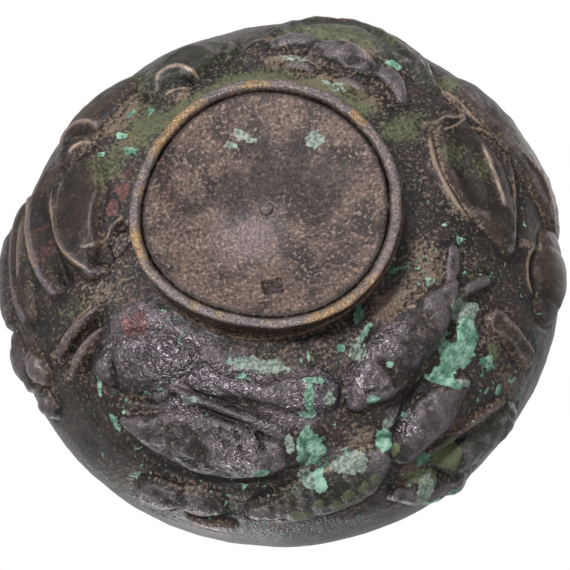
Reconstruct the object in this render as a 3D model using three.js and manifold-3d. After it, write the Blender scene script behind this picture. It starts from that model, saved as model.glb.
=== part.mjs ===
// Round cast bronze bowl on a low foot ring, its bulging wall covered with relief of fish, leaves, buds and shells.
// Millimetres, +Z up. The origin is the middle of the face that the foot ring stands on.
import * as THREE from 'three';
import { mergeVertices } from 'three/addons/utils/BufferGeometryUtils.js';
import Module from 'manifold-3d';

const wasm = await Module();
wasm.setup();

// Wall of the bowl
const bellyRadius = 77; // the smooth wall at its widest
const bellyHeight = 50; // of the widest place above the standing face
const bowlHeight = 78;
const lipRadius = 66; // outside of the mouth
const wallThickness = 3;
const lipRound = 1.2; // rounding of both lip edges
const bottomFlatRadius = 29; // where the outer bottom curve becomes level
const bodySegments = 64;

// Foot ring, a band that a hand has filed a little out of round
const footOuterRadius = 36.7;
const footRimWidth = 2.6; // of the worn standing face
const footHeight = 9;
const footBandThickness = 2.6; // of the band above the rim
const footRimRound = 0.5;
const footFlare = 0.7; // of the rim beyond the band above it
const footWaves = [
  { count: 1, swing: 0.55, turn: -119 },
  { count: 2, swing: 0.65, turn: 144 },
  { count: 3, swing: 0.75, turn: -30 },
  { count: 4, swing: 0.4, turn: -48 },
];
const footSegments = 64;

// Base plate let in from below, with its hollowed underside
const baseEdgeHeight = 0.8; // of the plate's lower edge above the standing face
const baseHollow = 4.2; // depth of the dished underside
const baseFloorDip = 2; // depth of the dished floor inside the bowl
const baseSpigotRadius = 30.6;
const chapletPitSize = [5.4, 4.4, 1.3]; // square pit left by a core support
const chapletPitPlace = [3.4, -23.4];

// Small plug in the middle of the base plate
const pipHeadRadius = 1.95;
const pipHeadHeight = 1.1;
const pipShankRadius = 1.2;
const pipShankLength = 2;

// Fits
const seatGap = 0.35; // between pieces that lie on each other
const reliefGap = 0.45; // between neighbours on the wall
const reliefStep = 0.8; // least height of a relief edge above the wall

const radians = THREE.MathUtils.degToRad;

// The outer wall is two quarter ellipses that meet at the belly
const seatHeight = footHeight + seatGap;
const wallSpan = bellyRadius - bottomFlatRadius;
const lipAngle = Math.PI - Math.asin((lipRadius - bottomFlatRadius) / wallSpan);
const wallStartAngle = Math.asin((footOuterRadius - bottomFlatRadius) / wallSpan);
const lowerRise = bellyHeight - seatHeight;
const upperRise = (bowlHeight - lipRound - bellyHeight) / -Math.cos(lipAngle);

function wallOutline(angle, inward = 0) {
  const rise = (angle < Math.PI / 2 ? lowerRise : upperRise) - inward;
  const radius = bottomFlatRadius + (wallSpan - inward) * Math.sin(angle);
  return new THREE.Vector2(radius, bellyHeight - rise * Math.cos(angle));
}

// Distances up the wall, measured along it from the foot
const arcSteps = 600;
const arcLengths = [0];
for (let i = 1; i <= arcSteps; i += 1) {
  const before = wallOutline(arcAngle(i - 1));
  arcLengths.push(arcLengths[i - 1] + before.distanceTo(wallOutline(arcAngle(i))));
}

function arcAngle(step) {
  return THREE.MathUtils.lerp(wallStartAngle, lipAngle, step / arcSteps);
}

function angleAtArc(arc) {
  const inside = THREE.MathUtils.clamp(arc, 0, arcLengths[arcSteps]);
  const next = Math.max(1, arcLengths.findIndex((length) => length >= inside));
  const share = (inside - arcLengths[next - 1]) / (arcLengths[next] - arcLengths[next - 1]);
  return arcAngle(next - 1 + share);
}

// A place on the wall by its direction round the axis, its distance up the wall and its height off it
function wallPlace(azimuth, arc, height) {
  const angle = angleAtArc(arc);
  const point = wallOutline(angle);
  const rise = angle < Math.PI / 2 ? lowerRise : upperRise;
  const normal = new THREE.Vector2(rise * Math.sin(angle), -wallSpan * Math.cos(angle)).normalize();
  const radius = point.x + normal.x * height;
  const z = point.y + normal.y * height;
  return new THREE.Vector3(radius * Math.cos(azimuth), radius * Math.sin(azimuth), z);
}

function signedVolume(position, index) {
  const [a, b, c] = [0, 0, 0].map(() => new THREE.Vector3());
  let volume = 0;
  for (let i = 0; i < index.length; i += 3) {
    a.fromArray(position, index[i] * 3);
    b.fromArray(position, index[i + 1] * 3);
    c.fromArray(position, index[i + 2] * 3);
    volume += a.dot(b.cross(c)) / 6;
  }
  return volume;
}

// Joins rings of points into a closed body: capped at both ends, or going round to its start
function ringBody(rings, closed, capFaces = []) {
  const size = rings[0].length;
  const position = rings.flat().flatMap((point) => point.toArray());
  const index = [];
  const spans = closed ? rings.length : rings.length - 1;
  for (let i = 0; i < spans; i += 1) {
    const here = i * size;
    const there = ((i + 1) % rings.length) * size;
    for (let j = 0; j < size; j += 1) {
      const k = (j + 1) % size;
      index.push(here + j, there + j, there + k, here + j, there + k, here + k);
    }
  }
  const last = (rings.length - 1) * size;
  for (const [p, q, r] of capFaces) {
    index.push(p, q, r, last + p, last + r, last + q);
  }
  if (signedVolume(position, index) < 0) index.reverse();
  const geometry = new THREE.BufferGeometry();
  geometry.setAttribute('position', new THREE.Float32BufferAttribute(position, 3));
  geometry.setIndex(index);
  return geometry;
}

function toSolid(geometry) {
  const bare = geometry.clone();
  bare.deleteAttribute('normal');
  bare.deleteAttribute('uv');
  const merged = mergeVertices(bare, 1e-4);
  const vertProperties = new Float32Array(merged.attributes.position.array);
  const triVerts = new Uint32Array(merged.index.array);
  return new wasm.Manifold(new wasm.Mesh({ numProp: 3, vertProperties, triVerts }));
}

// The largest piece of a solid, as a geometry: a cut can leave crumbs beside it
function toGeometry(solid) {
  const [largest] = solid.decompose().sort((a, b) => b.volume() - a.volume());
  const mesh = largest.getMesh();
  const geometry = new THREE.BufferGeometry();
  geometry.setAttribute('position', new THREE.BufferAttribute(new Float32Array(mesh.vertProperties), 3));
  geometry.setIndex(new THREE.BufferAttribute(new Uint32Array(mesh.triVerts), 1));
  return geometry;
}

function turned(outline, segments) {
  return new THREE.LatheGeometry([...outline, outline[0]], segments).rotateX(Math.PI / 2);
}

// Wall with its mouth, and the flat ledge that the base plate and the foot ring lie against
function bowlBody() {
  const outerSteps = 16;
  const innerSteps = 10;
  const opening = baseSpigotRadius + seatGap;
  const outline = [new THREE.Vector2(opening, seatHeight)];
  for (let i = 0; i <= outerSteps; i += 1) {
    outline.push(wallOutline(THREE.MathUtils.lerp(wallStartAngle, lipAngle, i / outerSteps)));
  }
  outline.push(new THREE.Vector2(lipRadius - lipRound, bowlHeight));
  outline.push(new THREE.Vector2(lipRadius - wallThickness, bowlHeight));
  const innerStart = Math.asin(Math.max(0, opening - bottomFlatRadius) / (wallSpan - wallThickness));
  const inLip = (lipRadius - wallThickness - lipRound - bottomFlatRadius) / (wallSpan - wallThickness);
  const innerLip = Math.PI - Math.asin(inLip);
  for (let i = 0; i <= innerSteps; i += 1) {
    outline.push(wallOutline(THREE.MathUtils.lerp(innerLip, innerStart, i / innerSteps), wallThickness));
  }
  return turned(outline, bodySegments);
}

// The hand-filed rim wanders in and out, and runs true again where the foot meets the wall
function footWave(azimuth, z) {
  const swing = footWaves.reduce((sum, w) => sum + w.swing * Math.cos(w.count * azimuth - radians(w.turn)), 0);
  return swing * (1 - z / footHeight);
}

const footBandOuter = footOuterRadius - footFlare;
const footBandInner = footBandOuter - footBandThickness;

function footRing() {
  const section = [
    [footOuterRadius - footRimWidth, 0],
    [footOuterRadius - footRimRound, 0],
    [footOuterRadius, footRimRound],
    [footOuterRadius - footFlare * 0.2, footHeight * 0.2],
    [footBandOuter, footHeight * 0.5],
    [footBandOuter, footHeight],
    [footBandInner, footHeight],
    [footBandInner, baseEdgeHeight - seatGap],
  ];
  const rings = [];
  for (let i = 0; i < footSegments; i += 1) {
    const azimuth = (i / footSegments) * 2 * Math.PI;
    rings.push(section.map(([radius, z]) => {
      const r = radius + footWave(azimuth, z);
      return new THREE.Vector3(r * Math.cos(azimuth), r * Math.sin(azimuth), z);
    }));
  }
  return ringBody(rings, true);
}

const baseRadius = footBandInner - seatGap;
const baseMiddleHeight = baseEdgeHeight + baseHollow;

// Moves a plate's points in and out with the foot ring round it, more towards the edge
function followFoot(geometry) {
  const points = geometry.attributes.position;
  const point = new THREE.Vector3();
  for (let i = 0; i < points.count; i += 1) {
    point.fromBufferAttribute(points, i);
    const radius = Math.hypot(point.x, point.y);
    const inFoot = point.z < footHeight ? (radius / baseRadius) ** 4 : 0;
    const shift = radius > 0 ? (inFoot * footWave(Math.atan2(point.y, point.x), point.z)) / radius : 0;
    points.setXY(i, point.x * (1 + shift), point.y * (1 + shift));
  }
  return geometry;
}

// Dished plate that closes the bottom: its shoulder lies under the ledge and its spigot fills the opening
function basePlate() {
  const steps = 6;
  const bore = pipShankRadius + seatGap;
  const boreTop = baseMiddleHeight + pipShankLength + seatGap;
  const floorHeight = seatHeight + wallThickness;
  const outline = [new THREE.Vector2(0, boreTop), new THREE.Vector2(bore, boreTop)];
  for (let i = 0; i <= steps; i += 1) {
    const radius = THREE.MathUtils.lerp(bore, baseRadius, i / steps);
    outline.push(new THREE.Vector2(radius, baseMiddleHeight - baseHollow * (radius / baseRadius) ** 2));
  }
  outline.push(new THREE.Vector2(baseRadius, seatHeight - seatGap));
  outline.push(new THREE.Vector2(baseSpigotRadius, seatHeight - seatGap));
  for (let i = 0; i <= steps / 2; i += 1) {
    const share = 1 - i / (steps / 2);
    const dip = baseFloorDip * (1 - share ** 2);
    outline.push(new THREE.Vector2(baseSpigotRadius * share, floorHeight - dip));
  }
  const plate = toSolid(followFoot(turned(outline, footSegments)));
  const [length, width, depth] = chapletPitSize;
  const [x, y] = chapletPitPlace;
  const share = Math.hypot(x, y) / baseRadius;
  const pit = new THREE.BoxGeometry(length, width, depth * 4);
  pit.translate(x, y, baseMiddleHeight - baseHollow * share ** 2 - depth);
  return toGeometry(plate.subtract(toSolid(pit)));
}

// Round-headed plug, its shank in the plate's blind hole and its head just clear of the hollow face
function centrePip() {
  const steps = 5;
  const seat = baseMiddleHeight - seatGap;
  const outline = [new THREE.Vector2(0, seat - pipHeadHeight)];
  for (let i = 1; i <= steps; i += 1) {
    const angle = (i / steps) * (Math.PI / 2);
    const head = new THREE.Vector2(pipHeadRadius * Math.sin(angle), seat - pipHeadHeight * Math.cos(angle));
    outline.push(head);
  }
  outline.push(new THREE.Vector2(pipShankRadius, seat));
  outline.push(new THREE.Vector2(pipShankRadius, seat + pipShankLength));
  outline.push(new THREE.Vector2(0, seat + pipShankLength));
  return turned(outline, 24);
}

// How high a relief piece stands across its width, from -1 at its left edge to 1 at its right
const crossForms = {
  dome: (across) => Math.max(0, 1 - Math.abs(across) ** 2.4) ** 0.7,
  leftLip: (across) => 0.25 + 0.75 * Math.exp(-(((across + 0.75) / 0.3) ** 2)),
  rightLip: (across) => 0.25 + 0.75 * Math.exp(-(((across - 0.75) / 0.3) ** 2)),
  midrib: (across) => 0.5 * (1 - across ** 2) + 0.5 * Math.exp(-((across / 0.22) ** 2)),
  cup: (across) => 0.45 + 0.55 * Math.abs(across) ** 2,
};

function endTaper(along, ends) {
  const near = Math.min(1, Math.min(along, 1 - along) / ends);
  return Math.sqrt(Math.max(0, 1 - (1 - near) ** 2));
}

// A relief piece follows a line of [degrees round the axis, mm up the wall, half width in mm].
// Its back keeps the wall's curve, its face swells by the cross form, and grow makes the cutter for its neighbours.
function reliefShell(piece, grow = 0) {
  const { form = 'dome', ends = 0.3, ribs = 0, stations = 12, across = 4 } = piece;
  const middleArc = piece.line.reduce((sum, [, arc]) => sum + arc, 0) / piece.line.length;
  const middleRadius = wallOutline(angleAtArc(middleArc)).x;
  const points = piece.line.map(([turn, arc, half]) => new THREE.Vector3(radians(turn) * middleRadius, arc, half));
  const curve = new THREE.CatmullRomCurve3(points, false, 'centripetal');
  const stepAlong = 1e-3;
  const rings = [];
  for (let i = 0; i <= stations; i += 1) {
    const along = 0.5 - 0.5 * Math.cos((Math.PI * i) / stations) * (0.75 + 0.25 * Math.abs(1 - (2 * i) / stations));
    const here = curve.getPoint(along);
    const ahead = curve.getPoint(Math.min(1, along + stepAlong));
    const behind = curve.getPoint(Math.max(0, along - stepAlong));
    const heading = ahead.sub(behind).setZ(0).normalize();
    const reach = grow * (along - 0.5) * 2;
    const taper = 0.3 + 0.7 * endTaper(along, ends);
    const half = here.z * taper + grow;
    const swell = (0.25 + 0.75 * endTaper(along, 0.5)) * (1 + 0.35 * Math.cos(2 * Math.PI * ribs * along) * (ribs > 0));
    const face = [];
    const back = [];
    for (let j = 0; j <= across; j += 1) {
      const share = Math.sin((Math.PI / 2) * ((2 * j) / across - 1));
      const side = share * half;
      const arc = Math.max(reliefGap, here.y + heading.y * reach + side * heading.x);
      const radius = wallOutline(angleAtArc((here.y + arc) / 2)).x;
      const azimuth = here.x / middleRadius + (heading.x * reach - side * heading.y) / radius;
      const height = reliefStep + piece.rise * crossForms[form](share) * swell;
      face.push(wallPlace(azimuth, arc, seatGap + height + grow));
      back.push(wallPlace(azimuth, arc, grow > 0 ? 0 : seatGap));
    }
    rings.push([...face, ...back.reverse()]);
  }
  const capFaces = [];
  const size = 2 * (across + 1);
  for (let j = 0; j < across; j += 1) {
    const opposite = size - 1 - j;
    capFaces.push([j, j + 1, opposite - 1], [j, opposite - 1, opposite]);
  }
  let solid = toSolid(ringBody(rings, false, capFaces));
  for (const part of piece.joined ?? []) {
    solid = solid.add(reliefShell({ ...part, rise: part.rise ?? piece.rise }, grow));
  }
  return solid;
}

// Listed from the topmost down: each is cut back where one listed before it lies over the same wall
const reliefPieces = [
  {
    name: 'fish_right', finish: 'dark', rise: 3.2, stations: 14, across: 6,
    line: [[217, 17, 2], [228, 16, 5.9], [241, 16, 7.1], [251, 18, 6.4], [258, 20, 3.2]],
    joined: [
      { line: [[219, 16.5, 1.4], [213, 15, 2], [207, 14.5, 2.2]], rise: 1.6, stations: 5 },
      { line: [[219, 17.5, 1.4], [215, 20, 2], [211, 23.5, 2]], rise: 1.6, stations: 5 },
    ],
  },
  {
    name: 'fish_left', finish: 'dark', rise: 3, stations: 14, across: 6, ends: 0.2,
    line: [[319, 31, 2], [310, 29, 6], [298, 28, 7.8], [287, 29, 7], [280, 28.5, 5]],
  },
  {
    name: 'fish_bottom', finish: 'green', rise: 3, stations: 12, across: 6,
    line: [[287, 46, 2], [279, 45, 5.4], [268, 42, 6.6], [262, 39, 5.6], [258, 37, 3]],
  },
  {
    name: 'fish_lower', finish: 'dark', rise: 3, across: 6,
    line: [[254, 39, 3.6], [248, 36, 5.6], [241, 34, 5.6], [236, 34, 3]],
  },
  {
    name: 'spool', finish: 'grey', rise: 2, form: 'dome', stations: 14, ends: 0.12,
    line: [[303, 12.5, 4], [293, 12.5, 3.4], [284, 13.5, 2.6], [276, 14, 4.2], [268, 15.5, 5.6]],
  },
  {
    name: 'stem', finish: 'grey', rise: 1.2, ends: 0.1, across: 3,
    line: [[311, 17.5, 1.1], [302, 18, 1.3], [291, 19.5, 1.3], [283, 22, 1.2]],
  },
  { name: 'branch', finish: 'tan', rise: 1, ends: 0.1, stations: 8, across: 3, line: [[250, 43.5, 1], [240, 45, 1.4], [230, 49, 1.1]] },
  { name: 'pod_lower', finish: 'green', rise: 2.4, line: [[246, 52, 4.2], [239, 53, 6], [232, 56, 4.4]] },
  { name: 'pod_rim', finish: 'dark', rise: 2.4, stations: 10, line: [[257, 52, 3], [252, 57, 5], [246, 62, 3.6]] },
  {
    name: 'boss_right', finish: 'brown', rise: 2.9, ends: 0.5,
    line: [[193, 49, 7.4], [200, 49, 9.4], [207, 49, 7.4]],
  },
  {
    name: 'leaf_right', finish: 'brown', rise: 2, form: 'midrib', stations: 14, across: 6,
    line: [[165, 22, 5.5], [177, 22, 8.4], [188, 26, 7.4], [198, 31, 3]],
  },
  { name: 'leaf_right_curl', finish: 'tan', rise: 1, ends: 0.15, stations: 8, across: 3, line: [[160, 14, 0.9], [161, 20, 1.2], [160, 26, 0.9]] },
  {
    name: 'petal_right', finish: 'brown', rise: 3, form: 'leftLip', stations: 14, across: 5,
    line: [[149, 35, 3.6], [158, 39.5, 6.4], [170, 43.5, 7], [180, 48, 6.6], [187, 52, 4]],
  },
  { name: 'stalk_right', finish: 'tan', rise: 1.8, form: 'cup', ends: 0.2, line: [[218, 33, 3.2], [218, 40, 2.4], [219, 48, 3.4]] },
  { name: 'animal_body', finish: 'grey', rise: 3, line: [[117.5, 17, 4], [124, 17.5, 5.6], [134, 17, 3.6]] },
  { name: 'animal_head', finish: 'tan', rise: 2.4, stations: 10, line: [[105, 18.5, 3], [110, 20, 4.2], [115.5, 19.5, 3.2]] },
  { name: 'animal_tail', finish: 'tan', rise: 2.2, stations: 10, line: [[136, 17, 2.4], [142, 17, 3.6], [149, 14, 2]] },
  { name: 'bead_top_left', finish: 'tan', rise: 1.2, ends: 0.5, stations: 8, line: [[110, 10, 1.6], [117.5, 9.5, 1.6]] },
  { name: 'bead_top_right', finish: 'tan', rise: 1.2, ends: 0.5, stations: 8, line: [[129, 8.6, 1.6], [137, 8.6, 1.6]] },
  {
    name: 'petal_top', finish: 'green', rise: 2.4, form: 'leftLip', stations: 14, across: 5,
    line: [[107, 31, 4.4], [115, 34, 7.4], [127, 34, 8], [138, 32, 6.2], [148, 28, 2.6]],
  },
  {
    name: 'shell_top', finish: 'green', rise: 3, ribs: 3, stations: 18,
    line: [[67, 16, 4.4], [74, 20, 8.2], [82, 22, 8.2], [89, 21, 4]],
  },
  {
    name: 'shell_left', finish: 'brown', rise: 2.8, ribs: 3, stations: 18,
    line: [[38, 27, 5], [47, 29, 8.8], [56, 29, 9], [64, 27.5, 5]],
  },
  {
    name: 'leaf_left', finish: 'brown', rise: 2.2, form: 'leftLip', stations: 14, across: 5,
    line: [[35, 21, 4], [26, 20, 6], [14, 17, 5.6], [1, 12, 4]],
  },
  {
    name: 'leaf_fold_inner', finish: 'brown', rise: 2, form: 'rightLip', across: 5,
    line: [[31, 34, 3], [23, 33, 4.6], [13, 30, 4.4], [1, 26, 2.6]],
  },
  {
    name: 'leaf_fold_middle', finish: 'brown', rise: 2.6, form: 'midrib', across: 5,
    line: [[27, 44, 3.6], [18, 43, 5.4], [7, 41.5, 5.4], [-1, 40, 3.4]],
  },
  {
    name: 'leaf_fold_outer', finish: 'dark', rise: 3,
    line: [[22, 54, 3.6], [14, 54, 5.2], [5, 53, 4.2]],
  },
  {
    name: 'bud_large', finish: 'dark', rise: 2.1, ends: 0.5, stations: 10,
    line: [[357, 52, 4], [353.5, 54, 5], [350, 55, 4]],
  },
  { name: 'bud_middle', finish: 'tan', rise: 3.2, ends: 0.5, stations: 9, line: [[350, 45, 3.2], [347.5, 44, 3.8], [345, 43, 3.2]] },
  { name: 'bud_small', finish: 'dark', rise: 2.8, ends: 0.5, stations: 8, line: [[343, 50, 2.6], [341, 50, 3.2], [339, 50, 2.6]] },
  { name: 'sprig_upper', finish: 'tan', rise: 1.5, ends: 0.4, across: 3, line: [[346.5, 16, 1], [345.5, 24, 1.8], [344.5, 34, 1]] },
  { name: 'sprig_lower', finish: 'tan', rise: 1.5, ends: 0.4, across: 3, line: [[340.5, 18, 1], [340, 25, 1.8], [339, 33, 1]] },
  {
    name: 'gourd_bottom', finish: 'dark', rise: 2, stations: 14,
    line: [[312, 50, 3.4], [308, 49, 4.8], [304, 47.5, 3], [300, 47, 4.4], [296, 47, 3]],
  },
  { name: 'gourd_leaf', finish: 'tan', rise: 1.2, ends: 0.4, stations: 8, across: 3, line: [[301, 54.5, 1.8], [294, 54.5, 2]] },
  { name: 'melon', finish: 'grey', rise: 1.6, across: 5, line: [[332, 23, 4.6], [326, 17, 7.2], [319, 11.5, 6.4], [314, 9, 3.4]] },
];

const finishes = {
  dark: { color: '#3b322e', roughness: 0.48, metalness: 0.85 },
  brown: { color: '#4d3f38', roughness: 0.5, metalness: 0.85 },
  grey: { color: '#6a5f5f', roughness: 0.45, metalness: 0.85 },
  tan: { color: '#85705f', roughness: 0.6, metalness: 0.7 },
  green: { color: '#4f5c45', roughness: 0.65, metalness: 0.55 },
  plate: { color: '#6b564e', roughness: 0.5, metalness: 0.8 },
  rim: { color: '#a27c48', roughness: 0.35, metalness: 1 },
};

const group = new THREE.Group();

function place(name, geometry, finish) {
  const mesh = new THREE.Mesh(geometry, new THREE.MeshStandardMaterial(finishes[finish]));
  mesh.name = name;
  group.add(mesh);
}

place('bowl_body', bowlBody(), 'dark');
place('foot_ring', footRing(), 'rim');
place('base_plate', basePlate(), 'plate');
place('centre_pip', centrePip(), 'tan');

const cutters = [];
for (const piece of reliefPieces) {
  let solid = reliefShell(piece);
  for (const cutter of cutters) solid = solid.subtract(cutter);
  cutters.push(reliefShell(piece, reliefGap));
  place(piece.name, toGeometry(solid), piece.finish);
}

export default group;
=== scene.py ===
import bpy
import numpy as np
from mathutils import Matrix, Vector


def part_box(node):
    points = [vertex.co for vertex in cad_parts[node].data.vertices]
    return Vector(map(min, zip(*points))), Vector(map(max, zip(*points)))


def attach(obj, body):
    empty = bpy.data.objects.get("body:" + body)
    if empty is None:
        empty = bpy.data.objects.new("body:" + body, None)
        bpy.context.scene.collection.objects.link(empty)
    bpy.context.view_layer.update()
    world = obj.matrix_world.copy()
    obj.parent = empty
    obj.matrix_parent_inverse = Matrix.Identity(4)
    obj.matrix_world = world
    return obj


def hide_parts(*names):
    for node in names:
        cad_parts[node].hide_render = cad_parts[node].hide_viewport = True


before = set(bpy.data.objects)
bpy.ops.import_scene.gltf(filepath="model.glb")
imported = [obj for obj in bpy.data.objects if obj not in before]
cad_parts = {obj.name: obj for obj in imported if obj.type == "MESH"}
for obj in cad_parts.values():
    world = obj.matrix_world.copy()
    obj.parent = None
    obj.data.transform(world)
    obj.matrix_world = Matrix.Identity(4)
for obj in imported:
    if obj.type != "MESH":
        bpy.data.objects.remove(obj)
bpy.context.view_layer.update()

# Round bowl of cast bronze on a low foot ring, its wall covered with relief, seen from below.
# Lengths are in millimetres and angles in degrees until a mesh, a lamp or the camera is made.
mm = 0.001
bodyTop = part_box("bowl_body")[1] / mm
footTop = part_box("foot_ring")[1] / mm
plateBox = [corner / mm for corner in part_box("base_plate")]
pipBox = [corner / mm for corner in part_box("centre_pip")]
print("frame loaded, bowl", round(bodyTop.x * 2, 1), "mm wide and", round(bodyTop.z, 1), "mm high")


# General tools

# sRGB hex to linear: c / 12.92 below 0.04045, else ((c + 0.055) / 1.055) ^ 2.4
def linear(hexColour, alpha=1.0):
    channels = [int(hexColour[i:i + 2], 16) / 255 for i in (1, 3, 5)]
    return [c / 12.92 if c <= 0.04045 else ((c + 0.055) / 1.055) ** 2.4 for c in channels] + [alpha]


# A node with its settings, and links into it: a key is a socket's name or number, or a property's name
def addNode(tree, kind, settings=None, links=None):
    node = tree.nodes.new(kind)
    for key, value in (settings or {}).items():
        if isinstance(key, str) and key not in node.inputs:
            setattr(node, key, value)
        else:
            node.inputs[key].default_value = value
    for key, socket in (links or {}).items():
        tree.links.new(socket, node.inputs[key])
    return node


# Smooth step from 0 at low to 1 at high: t * t * (3 - 2 * t)
def fade(low, high, x):
    t = np.clip((x - low) / (high - low), 0, 1)
    return t * t * (3 - 2 * t)


# Smooth random field from -1 to 1: a cube of seeded random numbers repeats through space, and each point
# blends the eight numbers round it by a smooth step
def noise(points, size, seed):
    side = 48
    cube = np.random.default_rng(seed).uniform(-1, 1, side ** 3)
    place = points / size + 20 * side
    cell = place.astype(int)
    x, y, z = (place - cell).T
    x, y, z = x * x * (3 - 2 * x), y * y * (3 - 2 * y), z * z * (3 - 2 * z)
    low, high = (cell % side).T, ((cell + 1) % side).T

    def number(i, j, k):
        return cube[(i * side + j) * side + k]

    nearZ = ((number(low[0], low[1], low[2]) * (1 - x) + number(high[0], low[1], low[2]) * x) * (1 - y)
             + (number(low[0], high[1], low[2]) * (1 - x) + number(high[0], high[1], low[2]) * x) * y)
    farZ = ((number(low[0], low[1], high[2]) * (1 - x) + number(high[0], low[1], high[2]) * x) * (1 - y)
            + (number(low[0], high[1], high[2]) * (1 - x) + number(high[0], high[1], high[2]) * x) * y)
    return nearZ * (1 - z) + farZ * z


# Sum of noise fields, each half the size and half the height of the one before
def fractal(points, size, octaves, seed):
    return sum(noise(points, size / 2 ** k, seed + k) / 2 ** k for k in range(octaves))


# Quads between neighbouring rows of a grid, as vertex numbers; a way that wraps goes round to its start
def gridFaces(rows, columns, wrapRows, wrapColumns):
    i = np.arange(rows if wrapRows else rows - 1)[:, None]
    j = np.arange(columns if wrapColumns else columns - 1)[None]
    nextRow, nextColumn = (i + 1) % rows, (j + 1) % columns
    corners = [i * columns + j, i * columns + nextColumn, nextRow * columns + nextColumn, nextRow * columns + j]
    return np.stack(np.broadcast_arrays(*corners), -1).reshape(-1, 4)


# A mesh in millimetres becomes a piece that stands for its CAD nodes. Faces are turned outwards if the
# sum of their tetrahedra to the origin is negative. Paint is a number for each vertex, by name.
def makePiece(name, points, faces, paint, material, nodes):
    ring = np.array([face[:3] for face in faces])
    a, b, c = points[ring[:, 0]], points[ring[:, 1]], points[ring[:, 2]]
    if np.einsum("ij,ij->i", a, np.cross(b, c)).sum() < 0:
        faces = [face[::-1] for face in faces]
    mesh = bpy.data.meshes.new(name)
    mesh.from_pydata((points * mm).tolist(), [], faces)
    mesh.polygons.foreach_set("use_smooth", np.ones(len(faces), bool))
    for paintName, values in paint.items():
        attribute = mesh.attributes.new(paintName, "FLOAT", "POINT")
        attribute.data.foreach_set("value", np.asarray(values, np.float32))
    mesh.materials.append(material)
    mesh.update()
    piece = bpy.data.objects.new(name, mesh)
    bpy.context.scene.collection.objects.link(piece)
    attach(piece, "root")
    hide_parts(*nodes)
    return piece


# Form of the wall: two quarter ellipses that meet at the belly, measured by the way up from the foot

wallForm = {
    "bellyRadius": round(bodyTop.x), "bellyHeight": 50, "lipRadius": 66, "thickness": 3, "lipRound": 1.2,
    "flatRadius": 29, "footRadius": 36.7, "seatHeight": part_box("bowl_body")[0].z / mm,
}
wallSpan = wallForm["bellyRadius"] - wallForm["flatRadius"]
lowerRise = wallForm["bellyHeight"] - wallForm["seatHeight"]
lipAngle = np.pi - np.arcsin((wallForm["lipRadius"] - wallForm["flatRadius"]) / wallSpan)
startAngle = np.arcsin((wallForm["footRadius"] - wallForm["flatRadius"]) / wallSpan)
upperRise = (bodyTop.z - wallForm["lipRound"] - wallForm["bellyHeight"]) / -np.cos(lipAngle)


# Radius = flat + (span - inward) * sin(angle), height = belly - (rise - inward) * cos(angle)
def wallSection(angle, inward=0.0):
    rise = np.where(angle < np.pi / 2, lowerRise, upperRise) - inward
    radius = wallForm["flatRadius"] + (wallSpan - inward) * np.sin(angle)
    return radius, wallForm["bellyHeight"] - rise * np.cos(angle)


angleTable = np.linspace(startAngle, lipAngle, 900)
tableRadius, tableHeight = wallSection(angleTable)
arcTable = np.concatenate([[0], np.cumsum(np.hypot(np.diff(tableRadius), np.diff(tableHeight)))])
wallArc = arcTable[-1]


def radiusAt(arc):
    return np.interp(arc, arcTable, tableRadius)


# A place on the wall and the way out of it, from degrees round the axis and mm up the wall
def wallPlace(azimuth, arc):
    angle = np.interp(arc, arcTable, angleTable)
    radius, height = wallSection(angle)
    rise = np.where(angle < np.pi / 2, lowerRise, upperRise)
    outward, upward = rise * np.sin(angle), -wallSpan * np.cos(angle)
    length = np.hypot(outward, upward)
    turn = np.radians(azimuth)
    place = np.stack([radius * np.cos(turn), radius * np.sin(turn), height + 0 * turn], -1)
    normal = np.stack([outward * np.cos(turn), outward * np.sin(turn), upward + 0 * turn], -1)
    return place, normal / length[..., None]


# Points on a smooth line through the knots (Catmull-Rom: cubic between knots, slope from the neighbours)
def smoothLine(knots, shares):
    knots = np.asarray(knots, float)
    padded = np.vstack([2 * knots[0] - knots[1], knots, 2 * knots[-1] - knots[-2]])
    place = np.clip(np.asarray(shares) * (len(knots) - 1), 0, len(knots) - 1 - 1e-9)
    i = place.astype(int)
    t = (place - i)[:, None]
    a, b, c, d = padded[i], padded[i + 1], padded[i + 2], padded[i + 3]
    return 0.5 * (2 * b + (c - a) * t + (2 * a - 5 * b + 4 * c - d) * t ** 2 + (3 * b - a - 3 * c + d) * t ** 3)


# Map of the wall: everything that stands on it or is cut into it adds its height to a fine grid of cells,
# columns going round and rows going up, and all meshes read their heights and paint from it
wallMap = {"columns": 2400, "rows": 520}
columnStep, rowStep = 360 / wallMap["columns"], wallArc / (wallMap["rows"] - 1)
mapAzimuth, mapArc = np.meshgrid(np.arange(wallMap["columns"]) * columnStep, np.arange(wallMap["rows"]) * rowStep,
                                 indexing="ij")
mapPlaces, mapNormals = wallPlace(mapAzimuth, mapArc)
flatPlaces = mapPlaces.reshape(-1, 3)


def mapNoise(size, seed):
    return noise(flatPlaces, size, seed).reshape(mapArc.shape)


# The part of the map within reach of some places; columns run on past 360 degrees
def mapWindow(azimuths, arcs, reach):
    spread = np.degrees(reach / radiusAt(max(np.min(arcs) - reach, 0)))
    first, last = (np.min(azimuths) - spread) / columnStep, (np.max(azimuths) + spread) / columnStep
    columns = np.arange(int(first) - 1, int(last) + 2) % wallMap["columns"]
    low, high = (np.min(arcs) - reach) / rowStep, (np.max(arcs) + reach) / rowStep
    return np.ix_(columns, np.arange(max(0, int(low)), min(wallMap["rows"], int(high) + 2)))


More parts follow.
